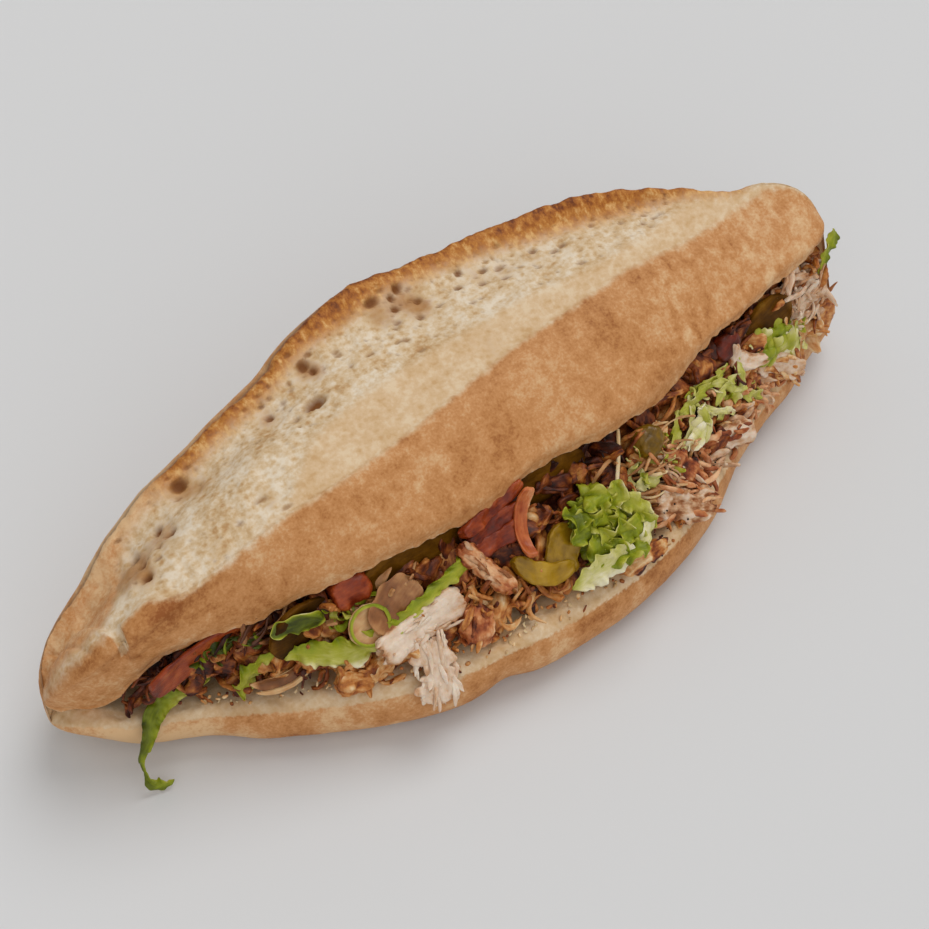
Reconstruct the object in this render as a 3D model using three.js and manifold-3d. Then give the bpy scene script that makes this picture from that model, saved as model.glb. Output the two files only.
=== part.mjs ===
// A doner kebab sandwich: a long scored wheat loaf, slit along its front and right end, its lid lifted by
// the filling. Shaved chicken runs through the whole slit, and lettuce, tomato, pickles and pickled peppers
// lie on the chicken where the slit gapes. The loaf is one piece, joined along its back and left end.
//
// Millimetres. +X runs along the loaf to its open right end, +Y to the joined back, +Z up. The origin is the
// middle of the underside of the whole sandwich, and the loaf's flat sole stands on z = 0.

import * as THREE from "three";
import { mergeVertices } from "three/addons/utils/BufferGeometryUtils.js";
import Module from "manifold-3d";

const wasm = await Module();
wasm.setup();

// ------------------------------------------------------------------------------------------- driving sizes
const LOAF_LEFT = -163; // tip of the closed left knob
const BASE_RIGHT = 182; // tip of the lower half
const LID_RIGHT = 171; // tip of the lid, which stops short of the lower half
const STICK_HALF = 18; // half the width of the loaf's slim ends
const BELLY_FRONT = 48; // how much further the lower half spreads forward at its middle
const BELLY_BACK = 42; // the same towards the back
const LIP_HEIGHT = 23; // top of the lower half's front wall at the ends
const LID_EDGE_HEIGHT = 61; // underside of the lid's front edge
const SCORE_HEIGHT = 89; // crust edge along the front of the open score
const EAR_HEIGHT = 96; // crest of the browned flap behind the score
const GAP = 0.45; // clearance that any two pieces keep

const CRUST = "#b9814c";
const CHICKEN = "#c99a72";
const CHICKEN_WHITE = "#dcc3a6";
const CHICKEN_BROWN = "#94542f";
const LETTUCE = "#93b33a";
const TOMATO = "#b8452a";
const PICKLE = "#6f7428";
const PEPPER = "#b39a2c";
const ONION = "#c79a78";

// --------------------------------------------------------------------------------------------- small maths
const { sin, cos, exp, abs, sqrt, PI, min, max } = Math;
const mix = (a, b, k) => a + (b - a) * k;
const clamp = (k) => min(max(k, 0), 1);

// 0 before a, 1 after b, eased between them.
function ease(a, b, x) {
  const k = clamp((x - a) / (b - a));
  return k * k * (3 - 2 * k);
}

// A hill of height 1 at the middle; reach is its half-width, and a higher fullness makes its top flatter.
function hill(x, middle, reachLeft, reachRight, fullness) {
  const d = x < middle ? (middle - x) / reachLeft : (x - middle) / reachRight;
  return exp(-(d ** fullness));
}

// 1 along the body, falling to 0 at both tips as quarter circles of the given radii.
function roundedEnds(x, left, right, radiusLeft, radiusRight) {
  const l = clamp((x - left) / radiusLeft);
  const r = clamp((right - x) / radiusRight);
  return sqrt(1 - (1 - l) ** 2) * sqrt(1 - (1 - r) ** 2);
}

// A point at u (0 to 1) on the closed cubic B-spline of [y, z] control points.
function onSpline(points, u) {
  const n = points.length;
  const i = Math.floor(u * n);
  const t = u * n - i;
  const weights = [
    (1 - t) ** 3,
    3 * t ** 3 - 6 * t ** 2 + 4,
    -3 * t ** 3 + 3 * t ** 2 + 3 * t + 1,
    t ** 3,
  ];
  const out = [0, 0];
  weights.forEach((w, k) => {
    const p = points[(i - 1 + k + n) % n];
    out[0] += (p[0] * w) / 6;
    out[1] += (p[1] * w) / 6;
  });
  return out;
}

// ------------------------------------------------------------------------------------- the loaf's long lines
// Every cross-section hangs on these lines, each a function of the station x along the loaf.
function lines(x) {
  const swell = hill(x, 2, 109, 107, 2.8);
  const axis = 6 * ease(-60, -160, x) + 2 * ease(60, 180, x);
  const knob = ease(-126, -152, x); // where the lid comes down over the closed left end
  const edgeWave = 2.5 * hill(x, 22, 16, 16, 2) - 2 * hill(x, 58, 16, 14, 2); // the edge's dent and bulge
  const crest = // the ear's shoulders and dips
    1.8 * hill(x, -104, 13, 13, 2) -
    3.4 * hill(x, -138, 14, 13, 2) -
    2.3 * hill(x, -52, 17, 11, 2) +
    2.5 * hill(x, -7, 20, 22, 2) +
    2.1 * hill(x, 113, 40, 24, 4);
  return {
    axis,
    knob,
    front: axis - mix(17, STICK_HALF + 1, ease(-120, 120, x)) - BELLY_FRONT * swell,
    back: axis + STICK_HALF + 2 + BELLY_BACK * swell,
    lip: LIP_HEIGHT + 5 * swell,
    edgeY: axis - 13 - 17 * hill(x, -10, 100, 100, 2.4) + edgeWave + 4 * knob + 6 * ease(106, 150, x),
    edgeZ: LID_EDGE_HEIGHT - 13 * ease(-70, -150, x) - 24 * knob - 5 * ease(90, 170, x) + 7 * ease(106, 150, x),
    scoreY: 1 + 0.11 * x - 7 * ease(90, 170, x),
    scoreZ: SCORE_HEIGHT - 22 * ease(-60, -160, x) - 14 * ease(70, 172, x) + 5 * ease(130, 170, x),
    earY: axis + 21 - 6 * ease(90, 165, x) + 32 * hill(x, 15, 110, 110, 2.6) + crest,
    earZ: EAR_HEIGHT - 36 * ease(-25, -165, x) - 3 * knob - 16 * ease(70, 172, x) + 5 * ease(130, 170, x) + crest,
    soleZ: 7 * ease(-115, LOAF_LEFT, x) + 8 * ease(-138, LOAF_LEFT, x),
    belly: 3.4 * ease(-120, -100, x) * ease(106, 80, x) - 2.6 * hill(x, -22, 9, 9, 2), // bulge under the lip
    tuck: 7 * ease(138, 166, x), // how far the front draws in at the right tip
  };
}

// Cross-section of the lower half: lip, cut crumb face, back wall, back belly, flat sole and front belly.
function baseSection(x) {
  const { axis, front, back, lip, soleZ, belly, tuck } = lines(x);
  const middle = (front + back) / 2;
  const section = [
    [front + 6 + 0.7 * tuck, lip],
    [front + 20, lip - 2.5],
    [middle + 4, lip - 4],
    [back - 20, lip + 2],
    [back - 12, 40],
    [back - 5, 44],
    [back + 0.5, 34],
    [back + 1, 18],
    [back - 3, 4],
    [back - 13, 0],
    [back - 20, 0],
    [middle, 0],
    [front + 20, 0],
    [front + 13 - 0.6 * belly + tuck, 0],
    [front + 5 - belly + tuck, 3 - 0.2 * belly],
    [front - 1 - 0.9 * belly + tuck, lip * 0.55 - 0.6 * belly],
    [front + 1.5 - 0.2 * belly + tuck, lip - 1.5],
  ];
  const k = roundedEnds(x, LOAF_LEFT, BASE_RIGHT, 30, 22);
  return section.map(([y, z]) => {
    const lifted = z + soleZ * (1 - z / 60);
    return [mix(axis, y, k), mix(20, lifted, k)];
  });
}

// Cross-section of the lid: cut front edge, front crust, score, pale torn crumb, ear, back and cut underside.
function lidSection(x) {
  const { axis, knob, edgeY, edgeZ, scoreY, scoreZ, earY, earZ, back } = lines(x);
  const crownY = mix(scoreY, earY, 0.45);
  const valleyY = mix(scoreY, earY, 0.75);
  const section = [
    [edgeY + 5, edgeZ],
    [edgeY, edgeZ - 0.5],
    [edgeY - 3, edgeZ + 7],
    [mix(edgeY, scoreY, 0.3) - 3, mix(edgeZ, scoreZ, 0.4) + 4],
    [mix(edgeY, scoreY, 0.65), mix(edgeZ, scoreZ, 0.8) + 3],
    [scoreY - 1, scoreZ + 1],
    [crownY, scoreZ + 5],
    [valleyY, earZ - 6],
    [earY - 4, earZ + 1.5],
    [earY + 2, earZ - 1],
    [back - 2, earZ * 0.6 + 14],
    [back, 36],
    [back - 3, 30],
    [back - 10, 36],
    [back - 16, 44],
    [(back + edgeY) / 2, edgeZ + 2],
  ];
  const k = roundedEnds(x, LOAF_LEFT, LID_RIGHT, 42, 22);
  const heart = mix(36, 64, ease(-60, 60, x)) + 5 * ease(120, 160, x) - 6 * knob;
  return section.map(([y, z]) => [mix(axis + 2, y, k), mix(heart, z, k)]);
}

// ----------------------------------------------------------------------------------------- making solids
// Replaces every vertex of a three.js primitive: shape(point, u, v) gives its new place.
function shaped(primitive, shape) {
  const at = primitive.getAttribute("position");
  const uv = primitive.getAttribute("uv");
  const p = new THREE.Vector3();
  for (let i = 0; i < at.count; i++) {
    p.fromBufferAttribute(at, i);
    at.setXYZ(i, ...shape(p, uv.getX(i), uv.getY(i)));
  }
  return primitive;
}

// A sphere whose poles are the two tips of a lobe, and whose meridians run along it.
function lobe(section, left, right, around, along) {
  return shaped(new THREE.SphereGeometry(1, around, along), (p, u, v) => {
    const x = mix(left, right, (1 - cos(PI * v)) / 2);
    return [x, ...onSpline(section(x), u % 1)];
  });
}

// A geometry as a solid in the sandwich's frame, its faces turned outwards and moved out by proud.
function solidOf(geometry, place, proud = 0) {
  const bare = geometry.clone();
  bare.deleteAttribute("normal");
  bare.deleteAttribute("uv");
  bare.applyMatrix4(place);
  const merged = mergeVertices(bare, 1e-3);
  const at = merged.getAttribute("position");
  const triVerts = new Uint32Array(merged.index.array);
  const made = () => new wasm.Manifold(new wasm.Mesh({ numProp: 3, vertProperties: at.array, triVerts }));
  const inward = made().volume() < 0;
  if (inward) triVerts.reverse();
  if (proud) {
    merged.setIndex(new THREE.BufferAttribute(triVerts, 1));
    merged.computeVertexNormals();
    const normal = merged.getAttribute("normal");
    for (let i = 0; i < at.count; i++) {
      at.setXYZ(
        i,
        at.getX(i) + normal.getX(i) * proud,
        at.getY(i) + normal.getY(i) * proud,
        at.getZ(i) + normal.getZ(i) * proud,
      );
    }
  }
  return made();
}

// The largest body of a solid that cuts have split, without the crumbs.
const largest = (solid) => solid.decompose().reduce((a, b) => (a.volume() > b.volume() ? a : b));

// --------------------------------------------------------------------------------- places in the open slit
// The filling shows as a slope from the lower half's lip up to the lid's edge. A place on it is a station x,
// a share up the slope (0 at the lip, 1 at the lid's edge) and a lift off it; turn, roll and pitch are
// degrees about the slope's normal, its long direction and its rise.
function onSlope(x, share, lift = 0, turn = 0, roll = 0, pitch = 0) {
  const { front, lip, edgeY, edgeZ } = lines(x);
  const foot = new THREE.Vector3(x, front + 6, lip + 2);
  const head = new THREE.Vector3(x, edgeY, edgeZ - 3);
  const rise = head.clone().sub(foot).normalize();
  const along = new THREE.Vector3(1, 0, 0);
  const out = along.clone().cross(rise);
  const spin = new THREE.Euler(
    THREE.MathUtils.degToRad(roll),
    THREE.MathUtils.degToRad(pitch),
    THREE.MathUtils.degToRad(turn),
    "ZYX",
  );
  const origin = foot.lerp(head, share).addScaledVector(out, lift);
  return new THREE.Matrix4()
    .makeBasis(along, rise, out)
    .setPosition(origin)
    .multiply(new THREE.Matrix4().makeRotationFromEuler(spin));
}

// A lump of meat or fruit: an ellipsoid squared off by boxy, with lumps of the given depth.
function lump(length, width, thick, depth = 0.12, boxy = 0.75) {
  const square = (k) => Math.sign(k) * abs(k) ** boxy;
  return shaped(new THREE.SphereGeometry(1, 10, 7), (p) => {
    const bumps = 1 + depth * sin(3.1 * p.x + 2 * p.y + length) * cos(2.3 * p.z - 1.7 * p.y + width);
    return [(square(p.x) * bumps * length) / 2, (square(p.y) * bumps * width) / 2, (square(p.z) * thick) / 2];
  });
}

// A sheet with a rounded outline, as thick all over, that follows height(x, y), with x and y from -1 to 1.
function sheet(length, width, thick, cuts, height) {
  const [near, a, b] = [0.01, length / 2, width / 2];
  return shaped(new THREE.BoxGeometry(2, 2, 2, ...cuts, 1), (p) => {
    const x = p.x * sqrt(1 - (p.y * p.y) / 2.4);
    const y = p.y * sqrt(1 - (p.x * p.x) / 2.4);
    const z = height(x, y);
    const normal = new THREE.Vector3(
      (z - height(x + near, y)) / (near * a),
      (z - height(x, y + near)) / (near * b),
      1,
    )
      .normalize()
      .multiplyScalar((p.z * thick) / 2);
    return [x * a + normal.x, y * b + normal.y, z + normal.z];
  });
}

// A shaved slice: it curls across its length and waves along it.
function slice(length, width, thick, curl = 0, wave = 1.2) {
  const height = (x, y) => curl * y * y + wave * sin(2.4 * x + width) + 0.5 * sin(5 * x + 4 * y + length);
  return sheet(length, width, thick, [6, 4], height);
}

// A round slice of pickle or pepper, a little dished.
function round(radius, thick, stretch = 1, dish = 0.6) {
  return shaped(new THREE.CylinderGeometry(1, 1, 2, 16, 1), (p) => {
    return [p.x * radius * stretch, p.z * radius, (p.y * thick) / 2 + dish * (p.x * p.x - p.z * p.z)];
  });
}

// A wedge cut from a tomato: a bar bent to an arc, with rounded skin outside and a thin edge inside.
function wedge(length, width, thick, bend) {
  return shaped(new THREE.BoxGeometry(2, 2, 2, 8, 2, 1), (p) => {
    const taper = sqrt(1 - 0.75 * p.x * p.x);
    const skin = 1 - 0.35 * clamp(-p.y);
    const y = (p.y * width * taper) / 2 - bend * p.x * p.x;
    return [(p.x * length) / 2, y, (p.z * thick * taper * skin) / 2];
  });
}

// A leaf or ribbon laid through the stops, facing the way the slope does, its margins ruffled.
function ribbon(stops, width, thick, ruffle, waves) {
  const spine = new THREE.CatmullRomCurve3(stops, false, "centripetal");
  return shaped(new THREE.BoxGeometry(2, 2, 2, 2 * stops.length, 2, 1), (p) => {
    const s = (p.x + 1) / 2;
    const at = spine.getPoint(s);
    const ahead = spine.getTangent(s);
    const out = new THREE.Vector3().setFromMatrixColumn(onSlope(at.x, 0), 2);
    const across = out.clone().cross(ahead).normalize();
    const normal = ahead.clone().cross(across);
    const margin = abs(p.y) ** 1.5 * ruffle * sin(2 * PI * waves * s + (p.y > 0 ? 0 : 2));
    const half = (width / 2) * (0.55 + 0.45 * sin(PI * clamp(0.12 + 0.8 * s)));
    at.addScaledVector(across, p.y * half);
    at.addScaledVector(normal, margin + (p.z * thick) / 2);
    return at.toArray();
  });
}

// A curly leaf: a domed sheet whose rim is thrown into folds.
function curlyLeaf(length, width, thick, dome, fold, folds) {
  return sheet(length, width, thick, [9, 11], (x, y) => {
    const r = Math.hypot(x, y);
    const turn = Math.atan2(y, x);
    return dome * (1 - r * r) + fold * r * r * (sin(folds * turn + 3 * r) + 0.5 * sin(3 * turn - 5 * r));
  });
}

// A ring of onion lying on the slope, flattened to an oval.
function ring(radius, tube, flatten) {
  const thin = 0.2;
  return shaped(new THREE.TorusGeometry(1, thin, 6, 20), (p) => {
    const around = Math.hypot(p.x, p.y);
    const reach = radius + (((around - 1) / thin) * tube) / 2;
    return [(p.x / around) * reach, (p.y / around) * reach * flatten, ((p.z / thin) * tube) / 2];
  });
}

// The bed of shaved chicken: it fills the slit from the joined back to just behind the slope, and its front
// is as uneven as stacked shavings are.
function chickenBed() {
  const [left, right] = [-143, 176];
  const section = (x) => {
    const { axis, front, back, lip, edgeY, edgeZ } = lines(x);
    const rough = 2 * sin(0.21 * x) + 1.4 * sin(0.47 * x + 2);
    const k = roundedEnds(x, left, right, 40, 16);
    const middle = (front + back) / 2;
    return [
      [front + 13 + rough * 0.6, lip - 1],
      [mix(front + 6, edgeY, 0.25) + 5 - rough, mix(lip, edgeZ, 0.22) - 3],
      [mix(front + 6, edgeY, 0.55) + 4 + rough, mix(lip, edgeZ, 0.5) - 3],
      [mix(front + 6, edgeY, 0.9) + 5 - rough, mix(lip, edgeZ, 0.85) - 3],
      [edgeY + 12, edgeZ + 3],
      [middle + 8, edgeZ + 3],
      [back - 22, edgeZ - 2],
      [back - 18, mix(lip, edgeZ, 0.5)],
      [back - 24, lip - 4],
      [middle, lip - 9],
      [front + 22, lip - 6],
    ].map(([y, z]) => [mix(axis, y, k), mix(mix(lip, edgeZ, 0.45), z, k)]);
  };
  return lobe(section, left, right, 12, 16);
}

// --------------------------------------------------------------------------------------------- the pieces
// Each piece lies on top of those listed after it, which are cut back to clear it.
const spot = (place) => new THREE.Vector3().setFromMatrixPosition(onSlope(...place));
const point = (at) => new THREE.Vector3(...at);
const TRAIL = [
  [-114, -20, 32],
  [-121, -17.5, 30.5],
  [-129, -15, 28],
  [-136, -17, 26.5],
  [-141, -22.5, 22],
  [-143.5, -24.5, 14],
  [-144, -26, 6],
  [-141.5, -28, 2.4],
  [-136, -28.5, 1.6],
].map(point);
const LONG_RIBBON = [
  [-107, 0.1, 2],
  [-99, 0.4, 4],
  [-85, 0.42, 4],
  [-74, 0.26, 4],
  [-64, 0.32, 4.5],
  [-54, 0.5, 4],
  [-40, 0.66, 4],
  [-24, 0.74, 3.5],
].map(spot);
const RIGHT_SHREDS = [
  [64, 0.42, 2.5],
  [78, 0.64, 4],
  [90, 0.48, 4.5],
  [101, 0.6, 4],
  [112, 0.4, 3],
].map(spot);
const RIGHT_LEAF = [
  [126, 0.56, 3],
  [135, 0.52, 4.5],
  [143, 0.44, 4],
  [149, 0.15, 2.5],
].map(spot);
const END_LEAF = [
  [163, -9.5, 54],
  [165.5, -8, 60],
  [169, -5.5, 65],
  [175, -3, 66],
].map(point);

const own = new THREE.Matrix4();
const PIECES = [
  ["lettuce_trailing_leaf", ribbon(TRAIL, 8, 1.6, 1.2, 2), own, LETTUCE],
  ["lettuce_long_ribbon", ribbon(LONG_RIBBON, 9, 1.6, 1.4, 3), own, LETTUCE],
  ["lettuce_curly_leaf", curlyLeaf(28, 39, 2, 5, 2, 7), onSlope(31, 0.28, 5, -8, 0, 0), LETTUCE],
  ["lettuce_right_leaf", ribbon(RIGHT_LEAF, 12, 1.6, 2, 2), own, LETTUCE],
  ["lettuce_end_leaf", ribbon(END_LEAF, 7, 1.6, 1, 1), own, LETTUCE],
  ["lettuce_right_shreds", ribbon(RIGHT_SHREDS, 12, 2.4, 2, 3), own, LETTUCE],
  ["lettuce_folded_leaf", slice(20, 9, 2, 2), onSlope(-84, 0.86, 5, -18, 10), LETTUCE],
  ["chicken_slice_roasted", slice(24, 9, 4.5, 2), onSlope(-16, 0.56, 3.5, -62, 0), CHICKEN_BROWN],
  ["tomato_strip_left", wedge(45, 11, 4, 3), onSlope(-113, 0.93, 1, 6, 20), TOMATO],
  ["tomato_strip_middle", wedge(25, 6, 4, 2), onSlope(3, 0.77, 5, 62, 0), TOMATO],
  ["tomato_wedge_upper", wedge(28, 12, 6, 3), onSlope(-6, 0.98, 1.5, 12, 20), TOMATO],
  ["tomato_wedge_lower", wedge(22, 8, 5, 2), onSlope(-8, 0.76, 0.5, 4, 0), TOMATO],
  ["tomato_piece_left", lump(16, 13, 10, 0.08, 0.9), onSlope(-62, 0.95, 0), TOMATO],
  ["tomato_piece_right", lump(12, 9, 7, 0.08, 0.9), onSlope(110.5, 0.95, 0, 25), TOMATO],
  ["pickle_slice_left", round(11.5, 3.2, 1.25), onSlope(-82, 0.74, 1.5, 4, 22, 6), PICKLE],
  ["pickle_slice_right", round(10.5, 3.4, 1.1), onSlope(134, 0.72, 1, 20, 6, 0), PICKLE],
  ["pickle_slice_under_lid", round(11.5, 3.4, 1.95), onSlope(-37, 0.97, -1, 0, 35, 0), PICKLE],
  ["pickle_slice_under_lid_middle", round(9.5, 3.4, 1.7), onSlope(21, 0.97, -1, 0, 35, 0), PICKLE],
  ["pepper_yellow", lump(27, 20, 7, 0.1, 0.85), onSlope(5.5, 0.4, 1, -14, 0), PEPPER],
  ["pepper_green_round", lump(13, 12, 10, 0.06, 0.95), onSlope(61, 0.76, 1, 0), PEPPER],
  ["onion_ring", ring(10, 3, 0.45), onSlope(-93, 0.26, 2.5, -8, 0), ONION],
  ["onion_petal", slice(20, 16, 2, 2), onSlope(-50, 0.68, 0, 25, 0), ONION],
  ["chicken_flake_hanging", slice(16, 25, 5, 2), onSlope(-48, -0.03, 2.5, -12, 14), CHICKEN_WHITE],
  ["chicken_slice_white", slice(36, 12, 5, 1.5), onSlope(-45.5, 0.38, 2.5, 6, 0), CHICKEN_WHITE],
  ["chicken_lump_roasted", lump(14, 19, 10), onSlope(-28, 0.2, 0, 10, 0), CHICKEN_BROWN],
  ["chicken_piece_glazed", lump(23, 11, 8), onSlope(-69, 0.0, 1, -22, 0), CHICKEN],
  ["chicken_piece_peppered", lump(25, 15, 9), onSlope(64, 0.05, 1.5, -25, 0), CHICKEN_WHITE],
  ["chicken_shavings_brown", slice(22, 12, 5, 2, 2), onSlope(73, 0.3, 2, -60, 0), CHICKEN_BROWN],
  ["chicken_piece_lip", lump(22, 9, 7), onSlope(40, -0.04, 0.5, 6, 0), CHICKEN],
  ["chicken_roll", lump(20, 11, 9, 0.06, 0.9), onSlope(97, 0.13, 1.5, -20, 0), CHICKEN],
  ["chicken_slice_right_white", slice(20, 10, 5, 2), onSlope(117, 0.7, 2, -40, 0), CHICKEN_WHITE],
  ["chicken_slice_right_pink", slice(25, 11, 5, 2), onSlope(134, 0.17, 1.5, -30, 0), CHICKEN],
  ["chicken_shavings_end", lump(22, 26, 14), onSlope(156, 0.62, -1, 0, 0), CHICKEN_WHITE],
];

// ---------------------------------------------------------------------------------------- putting together
function meshOf(name, solid, place, colour, roughness) {
  const { vertProperties, triVerts, numProp, numVert } = solid.getMesh();
  const at = new Float32Array(numVert * 3);
  for (let i = 0; i < numVert; i++) {
    at.set(vertProperties.subarray(i * numProp, i * numProp + 3), i * 3);
  }
  const geometry = new THREE.BufferGeometry()
    .setAttribute("position", new THREE.BufferAttribute(at, 3))
    .setIndex(new THREE.BufferAttribute(triVerts, 1))
    .applyMatrix4(place.clone().invert());
  const material = new THREE.MeshStandardMaterial({ color: colour, roughness, metalness: 0 });
  const mesh = new THREE.Mesh(geometry, material);
  mesh.name = name;
  mesh.applyMatrix4(place);
  return mesh;
}

const sandwich = new THREE.Group();
sandwich.name = "doner_sandwich";

const lowerHalf = lobe(baseSection, LOAF_LEFT, BASE_RIGHT, 20, 20);
const lid = lobe(lidSection, LOAF_LEFT, LID_RIGHT, 24, 22);
const bread = solidOf(lowerHalf, own).add(solidOf(lid, own));
sandwich.add(meshOf("bread", largest(bread), own, CRUST, 0.85));

let taken = solidOf(lowerHalf, own, GAP).add(solidOf(lid, own, GAP));
for (const [name, shape, place, colour] of PIECES) {
  const solid = largest(solidOf(shape, place).subtract(taken));
  sandwich.add(meshOf(name, solid, place, colour, 0.5));
  taken = taken.add(solidOf(shape, place)).add(solidOf(shape, place, GAP));
}
const bed = largest(solidOf(chickenBed(), own).subtract(taken));
sandwich.add(meshOf("chicken_bed", bed, own, CHICKEN, 0.6));

// The origin goes under the middle of the whole sandwich.
const middle = new THREE.Box3().setFromObject(sandwich, true).getCenter(new THREE.Vector3());
sandwich.position.set(-middle.x, -middle.y, 0);

export default sandwich;
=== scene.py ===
"""Doner kebab sandwich: a scored long loaf slit along its front, stuffed with shaved chicken, lettuce,
tomato, pickles, peppers and onion. Shapes are worked out in millimetres in the loaf's own frame, where
x runs along the loaf, -y is its open front and z is up, and are put into meshes in metres."""
from types import SimpleNamespace

import bpy
import numpy as np
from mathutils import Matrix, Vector


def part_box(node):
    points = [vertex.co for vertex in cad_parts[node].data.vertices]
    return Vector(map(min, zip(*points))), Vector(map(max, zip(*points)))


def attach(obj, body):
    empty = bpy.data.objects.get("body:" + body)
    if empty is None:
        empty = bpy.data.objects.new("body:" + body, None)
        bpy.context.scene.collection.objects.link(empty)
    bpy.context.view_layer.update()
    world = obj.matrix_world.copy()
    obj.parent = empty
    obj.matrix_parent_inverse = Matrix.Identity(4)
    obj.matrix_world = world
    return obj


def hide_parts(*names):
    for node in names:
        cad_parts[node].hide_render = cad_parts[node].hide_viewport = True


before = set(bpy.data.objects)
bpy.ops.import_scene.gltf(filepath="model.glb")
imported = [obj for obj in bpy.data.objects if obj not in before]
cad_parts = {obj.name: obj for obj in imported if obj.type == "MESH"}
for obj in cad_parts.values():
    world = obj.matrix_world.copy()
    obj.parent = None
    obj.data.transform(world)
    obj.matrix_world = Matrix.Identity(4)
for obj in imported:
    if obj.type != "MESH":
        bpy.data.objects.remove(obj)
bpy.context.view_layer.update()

# ---------------------------------------------------------------- loaf lines
# The loaf's long lines, in millimetres: where its ends, lips, score and torn ear run. Every filling is
# laid out from these lines, as it is on the real sandwich, where the loaf decides the order.
LOAF_LEFT, LID_RIGHT, BASE_RIGHT = -163.0, 171.0, 182.0
METRE = 1000.0


def ease(start, end, x):
    """Smooth step: 0 before start, 1 after end, and 3k^2 - 2k^3 between them."""
    k = np.clip((x - start) / (end - start), 0, 1)
    return k * k * (3 - 2 * k)


def hill(x, middle, left, right, power):
    """Bump of height 1 at middle: exp(-d^power), where d is the distance over the width on that side."""
    return np.exp(-np.abs(np.where(x < middle, (middle - x) / left, (x - middle) / right)) ** power)


def near(distance, width):
    """1 at distance 0, falling off as a bell of that width."""
    return np.exp(-((distance / width) ** 2))


def mix(a, b, k):
    """Straight blend from a at k = 0 to b at k = 1."""
    return a + (b - a) * k


def loaf_lines(x):
    """Heights and depths of the loaf's long lines at each x, from one swelling hill in the middle."""
    swell = hill(x, 2, 109, 107, 2.8)
    axis = 6 * ease(-60, -160, x) + 2 * ease(60, 180, x)
    knob = ease(-126, -152, x)
    wave = 2.5 * hill(x, 22, 16, 16, 2) - 2 * hill(x, 58, 16, 14, 2)
    crest = 1.8 * hill(x, -104, 13, 13, 2) - 3.4 * hill(x, -138, 14, 13, 2) - 2.3 * hill(x, -52, 17, 11, 2)
    crest = crest + 2.5 * hill(x, -7, 20, 22, 2) + 2.1 * hill(x, 113, 40, 24, 4)
    return SimpleNamespace(
        axis=axis,
        knob=knob,
        front=axis - mix(17, 19, ease(-120, 120, x)) - 48 * swell,
        back=axis + 20 + 42 * swell,
        lip=23 + 5 * swell,
        edge_y=axis - 13 - 17 * hill(x, -10, 100, 100, 2.4) + wave + 4 * knob + 6 * ease(106, 150, x),
        edge_z=61 - 13 * ease(-70, -150, x) - 24 * knob - 5 * ease(90, 170, x) + 7 * ease(106, 150, x),
        score_y=1 + 0.11 * x - 7 * ease(90, 170, x),
        score_z=89 - 22 * ease(-60, -160, x) - 14 * ease(70, 172, x) + 5 * ease(130, 170, x),
        ear_y=axis + 21 - 6 * ease(90, 165, x) + 32 * hill(x, 15, 110, 110, 2.6) + crest,
        ear_z=96 - 36 * ease(-25, -165, x) - 3 * knob - 16 * ease(70, 172, x) + 5 * ease(130, 170, x) + crest,
        sole_z=7 * ease(-115, -163, x) + 8 * ease(-138, -163, x),
        belly=3.4 * ease(-120, -100, x) * ease(106, 80, x) - 2.6 * hill(x, -22, 9, 9, 2),
        tuck=7 * ease(138, 166, x),
    )


def rounded_ends(x, left, right, left_length, right_length):
    """Share of the full section left at x: a quarter circle over each end's length, multiplied."""
    l = np.clip((x - left) / left_length, 0, 1)
    r = np.clip((right - x) / right_length, 0, 1)
    return np.sqrt(1 - (1 - l) ** 2) * np.sqrt(1 - (1 - r) ** 2)


def spline_weights(t):
    """Weights, times 6, of four control points in a uniform cubic B-spline."""
    return (1 - t) ** 3, 3 * t**3 - 6 * t**2 + 4, 3 * t**2 + 3 * t + 1 - 3 * t**3, t**3


def closed_spline(polygon, where):
    """Closed uniform cubic B-spline of each row's control polygon, at the given control numbers."""
    number = np.asarray(where) % polygon.shape[1]
    low = np.floor(number).astype(int)
    t = (number - low)[None, :, None]
    return sum(w / 6 * polygon[:, (low - 1 + k) % polygon.shape[1]] for k, w in enumerate(spline_weights(t)))


FINE_STEPS = 4000


def spaced(low, high, count, density):
    """Numbers from low to high, closer together where density is larger: its running sum, inverted."""
    fine = np.linspace(low, high, FINE_STEPS)
    total = np.cumsum(density(fine))
    return np.interp(np.linspace(total[0], total[-1], count), total, fine)


# ---------------------------------------------------------------- bread
# One white Turkish style loaf, baked on a floured deck. It was scored once along the top, so it burst
# into a floury band, a torn crumb and a toasted ear, and then slit along the front, so that it is a C.
ROWS, COLUMNS = 430, 230
LID_ENDS, BASE_ENDS = (42, 22), (30, 22)  # how far in from each end the loaf is rounded, in millimetres
CONTROLS, LID_CONTROLS = 29, 12  # points round the section, and how many of them belong to the lid
SEAM = -0.6  # control number where the columns begin, at the lid's hidden side
CONTROL_GAP = 11  # millimetres from one control number to the next across the lid


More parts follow.
